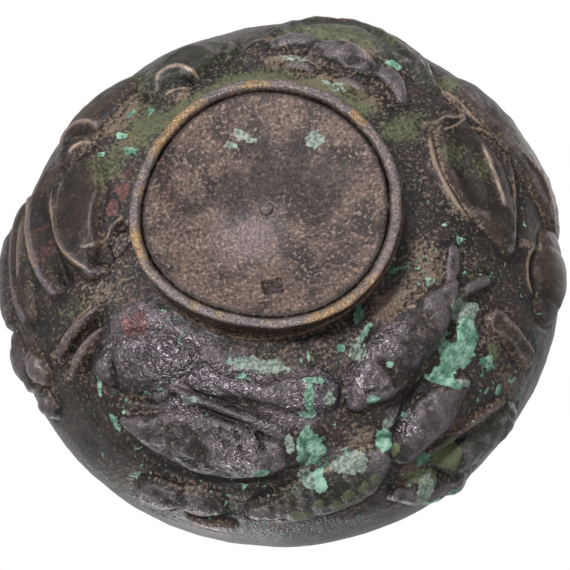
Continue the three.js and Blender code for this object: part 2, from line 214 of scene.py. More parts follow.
# Gaussian blur of a map by its spectrum; the way up is mirrored at both ends
def blurred(heightMap, width):
    mirrored = np.concatenate([heightMap, heightMap[:, ::-1]], axis=1)
    f = np.fft.fftfreq(mirrored.shape[0], np.radians(columnStep) * 62)[:, None]
    g = np.fft.rfftfreq(mirrored.shape[1], rowStep)[None]
    spectrum = np.fft.rfft2(mirrored) * np.exp(-2 * (np.pi * width) ** 2 * (f * f + g * g))
    return np.fft.irfft2(spectrum, mirrored.shape)[:, :wallMap["rows"]]


# Value of a map at places, blended from its four nearest cells
def sampled(heightMap, azimuth, arc):
    x, y = azimuth / columnStep % wallMap["columns"], np.clip(arc / rowStep, 0, wallMap["rows"] - 1.001)
    i, j = x.astype(int) % wallMap["columns"], y.astype(int)
    s, t = x - np.floor(x), y - j
    k = (i + 1) % wallMap["columns"]
    low = heightMap[i, j] * (1 - s) + heightMap[k, j] * s
    return low * (1 - t) + (heightMap[i, j + 1] * (1 - s) + heightMap[k, j + 1] * s) * t


# Cells near a line through knots [degrees round, mm up, half width]: how far along it they are from 0 to 1,
# their distance from it, the same with a sign for the side, and the half width there
def alongLine(knots, reach):
    knots = np.array(knots, float)
    steps = 5 * len(knots)
    smooth = smoothLine(knots, np.linspace(0, 1, steps + 1))
    track = wallPlace(smooth[:, 0], smooth[:, 1])[0]
    window = mapWindow(smooth[:, 0], smooth[:, 1], reach)
    cells = mapPlaces[window]
    distance = np.full(cells.shape[:2], np.inf)
    along = np.zeros(cells.shape[:2])
    for i in range(steps):
        way = track[i + 1] - track[i]
        offset = cells - track[i]
        t = np.clip(offset @ way / (way @ way), 0, 1)
        away = np.linalg.norm(offset - t[..., None] * way, axis=-1)
        closer = away < distance
        distance[closer] = away[closer]
        along[closer] = ((i + t) / steps)[closer]
    i = np.minimum((along * steps).astype(int), steps - 1)
    heading = (track[1:] - track[:-1])[i]
    across = np.cross(heading, mapNormals[window])
    sign = np.where(np.einsum("abk,abk->ab", across, cells - track[i]) < 0, -1.0, 1.0)
    half = np.interp(along, np.linspace(0, 1, steps + 1), smooth[:, -1])
    length = np.linalg.norm(np.diff(track, axis=0), axis=1).sum()
    return {"window": window, "along": along, "distance": distance, "side": sign * distance, "half": half,
            "length": length}


# Distances round and up the wall in mm from a place, measured in the tangent plane there, turned by an angle
def aroundPlace(azimuth, arc, reach, turn=0.0):
    window = mapWindow([azimuth], [arc], reach)
    middle, normal = wallPlace(np.array(float(azimuth)), np.array(float(arc)))
    place = np.radians(azimuth)
    roundWay = np.array([-np.sin(place), np.cos(place), 0])
    upWay = np.cross(roundWay, normal) * -1
    offset = mapPlaces[window] - middle
    x, y = offset @ roundWay, offset @ upWay
    c, s = np.cos(np.radians(turn)), np.sin(np.radians(turn))
    return window, x * c + y * s, y * c - x * s


# Smooth greater of two heights: half of their sum plus the root of their difference squared plus soft squared
def smoothMax(a, b, soft):
    return 0.5 * (a + b + np.sqrt((a - b) ** 2 + soft * soft))


wobbleMap = mapNoise(6.5, 5) + 0.5 * mapNoise(2.3, 6)
lumpMap = mapNoise(4.4, 7) + 0.6 * mapNoise(2.0, 8)
print("wall map laid out")

# Relief on the wall. A line is [degrees round, mm up, half width]; rise is how far the middle stands out.
reliefs = [
    {"node": "fish_right", "finish": "dark", "rise": 3.6, "lumps": 0.7, "wobble": 0.5,
     "line": [[216, 17, 2], [228, 15.6, 6.1], [241, 15.8, 7.4], [251, 18, 6.8], [259.5, 20.8, 3.4]],
     "joined": [
         {"line": [[221, 16.5, 1.8], [213, 15, 2.2], [206, 14.0, 2.0]], "rise": 1.9},
         {"line": [[221, 18, 1.8], [215.5, 20.5, 2.2], [210.5, 24.5, 2]], "rise": 1.9}]},
    {"node": "fish_left", "finish": "dark", "rise": 3.2, "lumps": 0.7, "wobble": 0.6,
     "line": [[320, 31.5, 2], [310, 29.5, 6.2], [298, 28.6, 8.2], [287, 29.2, 7.4], [279.5, 28.5, 5]]},
    {"node": "fish_bottom", "finish": "green", "rise": 3.3, "scales": 0.5, "lumps": 0.4, "wobble": 0.4,
     "line": [[288, 47, 2.2], [279, 45, 5.4], [268, 42, 6.8], [262, 39, 5.8], [257.5, 37, 3]]},
    {"node": "fish_lower", "finish": "dark", "rise": 3.4, "lumps": 0.6, "wobble": 0.6,
     "line": [[254.5, 39.5, 3.6], [248, 36, 5.8], [241, 34, 5.8], [235.5, 34, 3]]},
    {"node": "spool", "finish": "grey", "rise": 2.2, "lumps": 0.6, "wobble": 0.6, "edge": 1.2,
     "line": [[304, 12.2, 4.2], [298, 12.2, 4], [290, 12.8, 3.1], [283, 13.6, 3], [275, 14.4, 4.8], [268.5, 15.6, 5.6]]},
    {"node": "stem", "finish": "grey", "rise": 1.5, "lumps": 0.2, "wobble": 0.15, "edge": 0.6,
     "line": [[312, 17.3, 1.1], [302, 18, 1.5], [291, 19.6, 1.5], [281, 23, 1.2]]},
    {"node": "branch", "finish": "tan", "rise": 1.0, "lumps": 0.25, "wobble": 0.2, "edge": 0.7,
     "line": [[250, 43.3, 1], [240, 45, 1.4], [230, 49, 1.1]]},
    {"node": "pod_lower", "finish": "green", "rise": 2.6, "lumps": 0.7, "wobble": 0.7,
     "line": [[246, 52, 4.4], [239, 53, 6.4], [231, 56, 4.6]]},
    {"node": "pod_rim", "finish": "dark", "rise": 2.8, "lumps": 0.9, "wobble": 0.8,
     "line": [[258, 52, 3], [252, 57, 5.4], [245, 62, 4]]},
    {"node": "boss_right", "finish": "brown", "rise": 3.0, "lumps": 0.1, "wobble": 0.15, "edge": 0.7, "groove": 0.5,
     "line": [[194.5, 49, 6.6], [200, 49, 9.2], [205.5, 49, 6.6]]},
    {"node": "leaf_right", "finish": "brown", "rise": 0.9, "form": "plain", "lumps": 0.4, "wobble": 0.6, "edge": 2.2,
     "line": [[164, 22, 6], [175, 22, 9.4], [188, 25, 8], [199, 31, 3]]},
    {"node": "leaf_right_curl", "finish": "tan", "rise": 0.8, "lumps": 0.2, "wobble": 0.2, "edge": 0.7,
     "line": [[160, 14, 0.9], [161.5, 18, 1.2], [160.5, 22, 1.1], [161.5, 27, 0.9]]},
    {"node": "petal_right", "finish": "brown", "rise": 2.4, "form": "plain", "lumps": 0.3, "wobble": 0.4, "edge": 2.0,
     "line": [[149, 35, 3.6], [158, 39.5, 6.8], [170, 43.5, 7.4], [180, 48, 6.8], [188, 52, 4]]},
    {"node": "stalk_right", "finish": "tan", "rise": 1.6, "form": "cup", "lumps": 0.6, "wobble": 0.6,
     "line": [[218, 33, 3.2], [218, 40, 2.8], [219, 48, 3.6]]},
    {"node": "animal_body", "finish": "dark", "rise": 3.3, "lumps": 0.8, "wobble": 0.6, "groove": 0.5,
     "line": [[117.5, 18, 3.6], [124, 18.2, 5.2], [134.5, 17, 3.4]]},
    {"node": "animal_head", "finish": "dark", "rise": 2.7, "lumps": 0.6, "wobble": 0.4, "groove": 0.5,
     "line": [[105, 20, 2.8], [110, 21.6, 3.8], [116, 20.5, 2.8]]},
    {"node": "animal_tail", "finish": "dark", "rise": 2.2, "lumps": 0.7, "wobble": 0.5,
     "line": [[136, 17, 2.4], [142, 17, 3.6], [149, 14, 2]]},
    {"node": "bead_top_left", "finish": "tan", "rise": 1.5, "lumps": 0.4, "wobble": 0.4,
     "line": [[110, 10.4, 1.7], [117.5, 9.8, 1.7]]},
    {"node": "bead_top_right", "finish": "tan", "rise": 1.5, "lumps": 0.4, "wobble": 0.4,
     "line": [[129, 8.8, 1.7], [137, 8.8, 1.7]]},
    {"node": "petal_top", "finish": "green", "rise": 2.0, "form": "plain", "lumps": 0.4, "wobble": 0.5, "edge": 2.4,
     "line": [[106, 31, 4.4], [115, 34, 7.8], [127, 34, 8.4], [138, 32, 6.4], [149, 28, 2.6]]},
    {"node": "shell_top", "finish": "green", "rise": 3.0, "lumps": 0.2, "wobble": 0.4,
     "line": [[68, 19, 5.2], [74, 21.5, 8.6], [82, 23, 8.4], [90, 22, 4]]},
    {"node": "shell_left", "finish": "brown", "rise": 2.8, "lumps": 0.2, "wobble": 0.4,
     "line": [[39, 29, 5.4], [47, 30.5, 8.8], [56, 30, 9.2], [65, 28, 5]]},
    {"node": "leaf_left", "finish": "brown", "rise": 1.5, "form": "leaf", "lumps": 0.25, "wobble": 0.3, "edge": 2.0,
     "line": [[36, 20, 5], [27, 18.5, 8], [14, 17, 6.6], [1, 12.5, 4]]},
    {"node": "leaf_fold_inner", "finish": "brown", "rise": 2.0, "form": "rightLip", "lumps": 0.15, "wobble": 0.2,
     "edge": 1.5, "line": [[33, 35.5, 3], [23, 34, 4.4], [13, 30.8, 4.2], [0, 26.5, 2.6]]},
    {"node": "leaf_fold_middle", "finish": "brown", "rise": 2.4, "form": "midrib", "lumps": 0.15, "wobble": 0.2,
     "edge": 1.5, "line": [[28, 44.5, 3.6], [18, 43.5, 5.6], [7, 42, 5.6], [-2, 40, 3.4]]},
    {"node": "leaf_fold_outer", "finish": "dark", "rise": 3.2, "lumps": 0.15, "wobble": 0.2, "edge": 1.5,
     "line": [[23, 54, 3.6], [14, 54, 5.4], [4, 53, 4.2]]},
    {"node": "bud_large", "finish": "dark", "rise": 2.6, "lumps": 0.4, "wobble": 0.3, "groove": 0.5,
     "line": [[357, 52.4, 4.4], [353.5, 53.5, 5.4], [350, 54.6, 4.4]]},
    {"node": "bud_middle", "finish": "tan", "rise": 3.0, "lumps": 0.4, "wobble": 0.3, "groove": 0.5,
     "line": [[349.5, 44.8, 3.8], [347.5, 44, 4.2], [345.5, 43.4, 3.6]]},
    {"node": "bud_small", "finish": "dark", "rise": 2.6, "lumps": 0.3, "wobble": 0.3, "groove": 0.5,
     "line": [[342.5, 50, 3.2], [341, 50, 3.5], [339.5, 50, 3]]},
    {"node": "sprig_upper", "finish": "tan", "rise": 1.6, "lumps": 0.15, "wobble": 0.15, "edge": 0.8,
     "line": [[346.8, 15.5, 0.8], [346.5, 20, 1.4], [346, 25, 1.7], [345, 30, 1.4], [343.5, 34.5, 0.8]]},
    {"node": "sprig_lower", "finish": "tan", "rise": 1.5, "lumps": 0.15, "wobble": 0.15, "edge": 0.8,
     "line": [[340.6, 17.5, 0.8], [340.6, 22, 1.4], [339.8, 28, 1.7], [338.8, 33.5, 0.8]]},
    {"node": "gourd_bottom", "finish": "dark", "rise": 2.2, "lumps": 0.7, "wobble": 0.5, "groove": 0.5,
     "line": [[311.5, 50, 4], [308.5, 49, 4.8], [304, 47.5, 3.2], [300, 47, 4.6], [296.5, 47, 3.4]]},
    {"node": "gourd_leaf", "finish": "tan", "rise": 1.4, "lumps": 0.4, "wobble": 0.5,
     "line": [[301.5, 54.5, 1.8], [293.5, 54.5, 2.1]]},
    {"node": "melon", "finish": "grey", "rise": 0.9, "lumps": 0.5, "wobble": 0.8, "edge": 2.6, "form": "plain",
     "line": [[332.5, 23, 4.8], [326, 17, 7.6], [319, 11.5, 6.8], [313, 9, 3.6]]},
]
reliefMaking = {"spacing": 0.36, "step": 0.7, "skirt": 1.6, "cover": 0.9, "lift": 0.05, "sunk": 0.75,
                "backColumns": 6, "backDepth": 1.5}

# Height across a piece, from -1 at one edge to 1 at the other
crossForms = {
    "dome": lambda a: (1 - np.abs(a) ** 2.3) ** 0.75,
    "plain": lambda a: 0.75 + 0.25 * (1 - a * a),
    "leftLip": lambda a: 0.25 + 0.55 * np.exp(-(((a + 0.75) / 0.3) ** 2)) + 0.3 * (1 - a * a),
    "rightLip": lambda a: 0.2 + 0.8 * fade(-0.6, 0.8, a),
    "midrib": lambda a: 0.5 * (1 - a ** 2) + 0.5 * np.exp(-((a / 0.25) ** 2)),
    "cup": lambda a: 0.45 + 0.55 * np.abs(a) ** 2,
    "leaf": lambda a: 0.6 + 0.25 * (1 - a * a) + 0.25 * fade(0.3, 0.85, a),
}


# Rounded end of a piece: square root of 1 - (1 - near)^2, where near grows to 1 over the end's share
def endTaper(along, ends):
    near = np.clip(np.minimum(along, 1 - along) / ends, 0, 1)
    return np.sqrt(1 - (1 - near) ** 2)


# Height of a piece over the bare wall at the cells near its line. The dome falls with the distance from the
# line, other forms with the side; the edge is a smooth step, and a groove may run along its foot.
def reliefHeight(piece, cells):
    window = cells["window"]
    inside = cells["half"] - cells["distance"] + piece["wobble"] * wobbleMap[window]
    if piece.get("form", "dome") == "dome":
        form = crossForms["dome"](np.clip(1 - inside / cells["half"], 0, 1))
    else:
        form = crossForms[piece["form"]](np.clip(cells["side"] / cells["half"], -1, 1))
    swell = 0.55 + 0.45 * endTaper(cells["along"], 0.5)
    height = fade(-0.2, piece.get("edge", 0.9), inside) * (reliefMaking["step"] + piece["rise"] * form * swell)
    height += piece["lumps"] * lumpMap[window] * fade(0.2, 2.2, inside)
    height -= 0.7 * (1 - fade(-1.4, -0.2, inside))
    if "scales" in piece:
        s, w = cells["along"] * cells["length"] / 2.5, cells["side"] / 2.2
        row = np.floor(s)
        lobe = np.abs((w + 0.5 * (row % 2)) % 1 - 0.5) * 2
        rim = fade(0.7, 0.98, (s - row) + 0.35 * (1 - lobe ** 2))
        height += piece["scales"] * fade(0.5, 2, inside) * ((s - row) * (1 - rim) - 0.4)
    groove = piece.get("groove", 0.45) * np.exp(-(((inside + 0.75) / 0.6) ** 2))
    return height, inside, groove


reliefMap = np.zeros(mapArc.shape)
grooveMap = np.zeros(mapArc.shape)
coveredMap = np.zeros(mapArc.shape)
motifMap = np.zeros(mapArc.shape)
for piece in reliefs:
    parts = [piece] + [{**piece, **part} for part in piece.get("joined", [])]
    piece["parts"] = [part["line"] for part in parts]
    for part in parts:
        widest = np.array(part["line"])[:, 2].max()
        cells = alongLine(part["line"], widest + 3)
        window = cells["window"]
        height, inside, groove = reliefHeight(part, cells)
        reliefMap[window] = smoothMax(reliefMap[window], height, 0.45)
        grooveMap[window] = np.maximum(grooveMap[window], groove)
        covered = fade(0.3, 1.2, cells["half"] - cells["distance"])
        coveredMap[window] = np.maximum(coveredMap[window], covered)
        motifMap[window] = np.maximum(motifMap[window], fade(-0.4, 1.4, inside))
print("set", len(reliefs), "relief pieces on the map")

# Chased lines and hollows of the wall: [degrees round, mm up], half width and height in mm; minus is a groove
chasedLines = [
    {"name": "shell left, outer fold", "width": 0.9, "height": 0.9,
     "line": [[37, 28.5], [42, 32], [45.5, 31], [47.5, 26.5], [48, 21]]},
    {"name": "shell left, groove", "width": 0.9, "height": -1.1,
     "line": [[38.5, 28], [42.5, 29.5], [44.8, 26.5], [45.5, 21]]},
    {"name": "shell left, inner fold", "width": 0.8, "height": 0.8,
     "line": [[37, 26.5], [39.5, 26], [42.5, 23.4], [43.5, 19]]},
    {"name": "shell left, eye hollow", "width": 1.5, "height": -1.5, "line": [[36.5, 24], [39, 21.5], [41, 18.5]]},
    {"name": "shell top, outer fold", "width": 0.9, "height": 0.9,
     "line": [[65.5, 15], [69, 18.5], [72, 19.2], [75.5, 17.9], [79, 13.7], [80, 11]]},
    {"name": "shell top, groove", "width": 0.9, "height": -1.2,
     "line": [[67, 14.5], [71.5, 15.8], [75.5, 13.7], [77.5, 10.6]]},
    {"name": "shell top, inner fold", "width": 0.8, "height": 0.9,
     "line": [[65.5, 13.2], [69, 13.7], [72.5, 12.2], [75, 9.3]]},
    {"name": "shell top, upper fold", "width": 0.9, "height": 0.6,
     "line": [[74, 23.5], [79.5, 25.5], [83.5, 23.7], [87, 19]]},
    {"name": "top vein", "width": 0.8, "height": 0.6, "line": [[90, 13], [94, 18.4], [97, 22.3], [102, 25]]},
    {"name": "left leaf, lip", "width": 1.0, "height": 1.1,
     "line": [[34, 31.5], [28, 29.7], [23.5, 28.2], [18, 25.5], [12.5, 22.9], [8, 20.5], [3.5, 17.3], [0, 14.6],
              [-4, 13.8]]},
    {"name": "left leaf, valley outside its lip", "width": 2.3, "height": -1.9,
     "line": [[29, 33.5], [19.5, 30.5], [10, 26.2], [1.5, 22.2], [-3, 20]]},
    {"name": "left leaf, torn edge", "width": 0.9, "height": 0.8,
     "line": [[18, 0.7], [16, 3.4], [14, 6.2], [9.5, 9.1], [7.5, 12.1], [8, 17]]},
    {"name": "left leaf, recess", "width": 2.6, "height": -2.3,
     "line": [[12, 1.5], [9, 3.4], [4.5, 6], [3, 10.2], [3, 14]]},
    {"name": "middle fold, ridge", "width": 0.7, "height": 1.0,
     "line": [[34.5, 43], [27, 37.5], [20, 35], [11, 31.9], [2.5, 29.1]]},
    {"name": "middle fold, valley", "width": 1.6, "height": -1.5,
     "line": [[25, 39.5], [16.5, 36.8], [7.5, 34.4], [0, 33]]},
    {"name": "outer fold, ridge", "width": 0.7, "height": 0.8,
     "line": [[25, 41], [19.5, 40.5], [12, 39.5], [5, 39.5]]},
    {"name": "top petal, lip", "width": 0.9, "height": 0.8,
     "line": [[106.5, 30], [111.5, 35], [118, 39], [125.5, 38.4], [133.5, 34], [140.5, 31], [147, 29.3]]},
    {"name": "top petal, groove below its lip", "width": 1.2, "height": -0.8,
     "line": [[109, 29], [118, 35], [126, 34.5], [134, 30.5], [142, 28]]},
    {"name": "top petal, inner edge", "width": 0.9, "height": 0.5,
     "line": [[111, 23.5], [119, 24], [125.5, 22.5], [133.5, 20], [139, 19.4]]},
    {"name": "animal, back", "width": 0.8, "height": 0.9,
     "line": [[116.5, 20.7], [119.5, 22.8], [124, 22.1], [128.5, 19.8], [133, 18.2], [138, 17.9]]},
    {"name": "animal, head", "width": 0.8, "height": 0.8, "line": [[106.5, 23], [110, 25.5], [114.5, 23.6]]},
    {"name": "animal, tail", "width": 0.8, "height": 1.0,
     "line": [[137, 18.2], [140, 20], [144, 19.4], [147.5, 16.6]]},
    {"name": "upper squiggle", "width": 0.6, "height": 0.9, "line": [[162, 16], [161, 20], [162, 24], [161, 27.7]]},
    {"name": "lower squiggle", "width": 0.6, "height": 0.8, "line": [[164, 16], [164.5, 20], [163.5, 24], [162, 27.5]]},
    {"name": "right leaf, top", "width": 0.8, "height": 0.9,
     "line": [[166, 24], [165.3, 29], [167, 32.7], [170, 34.4]]},
    {"name": "right leaf, left edge", "width": 1.0, "height": 1.2,
     "line": [[162, 13.4], [167.5, 12.2], [173.5, 11.2], [181, 11.4], [189.5, 14.1], [196.5, 19.3]]},
    {"name": "right leaf, dished face", "width": 3.2, "height": -1.6,
     "line": [[168, 20], [176, 18.5], [185, 19.5], [192, 22]]},
    {"name": "right leaf, midrib", "width": 0.7, "height": 1.3,
     "line": [[169, 26], [178, 26.4], [186, 27.3], [190, 28]]},
    {"name": "right leaf, far edge", "width": 0.8, "height": 0.8,
     "line": [[169.5, 34.4], [173, 35.6], [178.5, 34.8], [186, 33.3], [198, 30.6]]},
    {"name": "right leaf, groove beyond it", "width": 1.3, "height": -1.1,
     "line": [[171, 37], [179, 37], [187, 35.5], [198, 33], [205, 31]]},
    {"name": "outer right ridge", "width": 0.8, "height": 0.9,
     "line": [[171.5, 39], [174.5, 41.8], [177.5, 44.7], [181, 46.6], [184.5, 47.6], [188, 47.4]]},
    {"name": "right petal, ridge", "width": 0.9, "height": 1.1,
     "line": [[148, 27.7], [152, 28.7], [156, 29.6], [161, 30], [164, 31.5], [166.5, 35.2]]},
    {"name": "right boss, rim", "width": 0.8, "height": 0.9,
     "line": [[194, 42], [196, 39.4], [198.5, 37.6], [201.5, 36.9], [204.5, 38], [206.5, 40.6], [207.5, 45]]},
    {"name": "sprig, first fold", "width": 0.8, "height": 0.8,
     "line": [[350, 14], [348.8, 18], [348.5, 22], [347, 26.6], [345.5, 30.5]]},
    {"name": "sprig, groove", "width": 1.1, "height": -1.2,
     "line": [[343.5, 16], [344, 20], [344, 24], [343, 29], [341.5, 33]]},
    {"name": "sprig, last groove", "width": 1.1, "height": -0.9,
     "line": [[337.5, 19], [337.5, 24], [336.8, 29], [336.5, 33]]},
    {"name": "stem, upper groove", "width": 0.9, "height": -1.0,
     "line": [[311, 15.8], [302, 16.2], [294.5, 16.8], [287, 19], [279, 23]]},
    {"name": "stem, lower groove", "width": 0.9, "height": -1.1,
     "line": [[309, 19], [301, 19.4], [294, 20.8], [288.5, 22.8], [283, 25.4], [278, 28]]},
    {"name": "left fish, ribs", "width": 0.8, "height": -0.9, "line": [[296, 22.3], [295, 25.3], [293.5, 28.8]]},
    {"name": "left fish, ribs", "width": 0.8, "height": -0.9, "line": [[292, 22.5], [291, 25.6], [290, 29.2]]},
    {"name": "left fish, ribs", "width": 0.8, "height": -0.9, "line": [[286.5, 23], [285.5, 25.5], [285, 29]]},
    {"name": "left fish, lower edge", "width": 1.6, "height": -1.0,
     "line": [[322, 33], [314, 37], [304, 39.5], [292, 38.5], [282, 36]]},
    {"name": "melon, notch", "width": 1.0, "height": -1.2, "line": [[335, 19], [330, 22], [327, 25], [326, 28.5]]},
    {"name": "melon, lower edge", "width": 0.8, "height": -1.1,
     "line": [[325, 27.5], [318.5, 24.8], [314, 22.8], [311, 18.9], [310, 16.4]]},
    {"name": "gourd, rim", "width": 0.7, "height": 0.7, "line": [[311, 46], [312.3, 50], [311, 54], [308, 55.8]]},
    {"name": "gourd, waist", "width": 0.9, "height": -1.0, "line": [[304.5, 42], [303.5, 46], [304, 51]]},
    {"name": "bottom fish, back", "width": 0.8, "height": 0.7,
     "line": [[277, 38.5], [270.5, 35.6], [266, 34.3], [260, 34.6]]},
    {"name": "right fish, back edge", "width": 1.1, "height": -0.7,
     "line": [[229, 8.5], [236, 7], [243, 7.4], [254, 10.7], [261, 16]]},
    {"name": "right fish, belly edge", "width": 1.5, "height": -1.0,
     "line": [[219, 19], [228, 23.2], [238, 25.6], [248, 26.4], [257, 26]]},
    {"name": "right fish, fin", "width": 0.9, "height": 0.8, "line": [[242, 6.5], [235, 7.4], [230, 9.6], [228, 12.2]]},
    {"name": "right fish, gill", "width": 0.7, "height": -0.8, "line": [[249, 13.5], [248, 18], [249, 22.5]]},
    {"name": "right fish, stripes", "width": 0.5, "height": -0.6, "line": [[257, 19.5], [253.5, 20.6]]},
    {"name": "right fish, stripes", "width": 0.5, "height": -0.6, "line": [[257, 21.3], [253.5, 22.3]]},
    {"name": "right fish, stripes", "width": 0.5, "height": -0.6, "line": [[257, 23], [254, 24]]},
    {"name": "lower fish, upper edge", "width": 1.2, "height": -1.0,
     "line": [[257, 39], [254, 33], [248, 28.2], [241, 27.2], [234, 30.5]]},
    {"name": "branch, groove", "width": 1.0, "height": -0.9,
     "line": [[249.5, 45.5], [244, 46.6], [238, 48.4], [231, 51]]},
    {"name": "under the belly, first line", "width": 0.7, "height": -0.5,
     "line": [[318, 59.5], [310, 59.8], [302, 60.4], [294, 60], [285, 60.4]]},
    {"name": "under the belly, second line", "width": 0.6, "height": -0.4,
     "line": [[314, 57.3], [306, 57.6], [298, 58], [291, 57.5]]},
    {"name": "bottom fish, mouth", "width": 0.8, "height": -0.9, "line": [[288, 49], [284, 48.5], [281, 47.4]]},
    {"name": "bottom fish, fold", "width": 0.7, "height": 0.6, "line": [[287, 51.5], [281, 51], [275, 49.5]]},
]

# Each chased line adds height * exp(-(distance / width)^2), sinking to nothing towards both ends
lineMap = np.zeros(mapArc.shape)
for stroke in chasedLines:
    knots = [place + [stroke["width"]] for place in stroke["line"]]
    cells = alongLine(knots, 3 * stroke["width"])
    ends = fade(0, 0.3, np.minimum(cells["along"], 1 - cells["along"]) + 0.05)
    wandering = cells["distance"] + 0.22 * wobbleMap[cells["window"]] * np.sign(cells["side"])
    lineMap[cells["window"]] += stroke["height"] * ends * np.exp(-(wandering / stroke["width"]) ** 2)

# Broad swells and hollows of the hand-made wall: degrees round, mm up, half widths round and up, height
wallSwells = [
    [108, 13, 6, 3, 0.7], [123, 8, 5, 3, 0.8], [142, 8, 4, 3, 0.7], [10.5, 5, 4.5, 6, -2.0], [5, 9.5, 4, 5, -1.6],
    [146, 30, 4, 9, -1.4], [62, 46, 12, 16, -1.2], [88, 36, 10, 10, -0.9], [30, 44, 5, 8, -0.6],
    [272, 36, 8, 3, -0.5], [215, 30, 6, 10, 0.5], [206, 24, 5, 8, -0.7], [340, 42, 8, 14, -0.6],
    [262, 28, 4, 6, -0.5], [298, 8, 14, 4, 0.4], [318, 12, 9, 9, 0.5], [256, 44, 4, 6, -0.6], [176, 19, 8, 5, -0.9],
    [236, 60, 6, 5, 0.8], [222, 50, 5, 5, 0.7], [268, 54, 9, 4, 0.6], [248, 56, 5, 4, 0.9], [220, 42, 4, 8, -0.6],
    [337, 22, 3, 7, -0.6], [353, 30, 6, 9, -0.7], [290, 24.6, 9, 1.6, -0.5],
]
swellMap = 0.3 * mapNoise(18, 3) + 0.16 * mapNoise(9, 4) + 0.12 * mapNoise(4, 11) + 0.05 * mapNoise(1.6, 12)
for azimuth, arc, a, b, rise in wallSwells:
    window, x, y = aroundPlace(azimuth, arc, 2.6 * max(a, b))
    swellMap[window] += rise * np.exp(-(x / a) ** 2 - (y / b) ** 2)

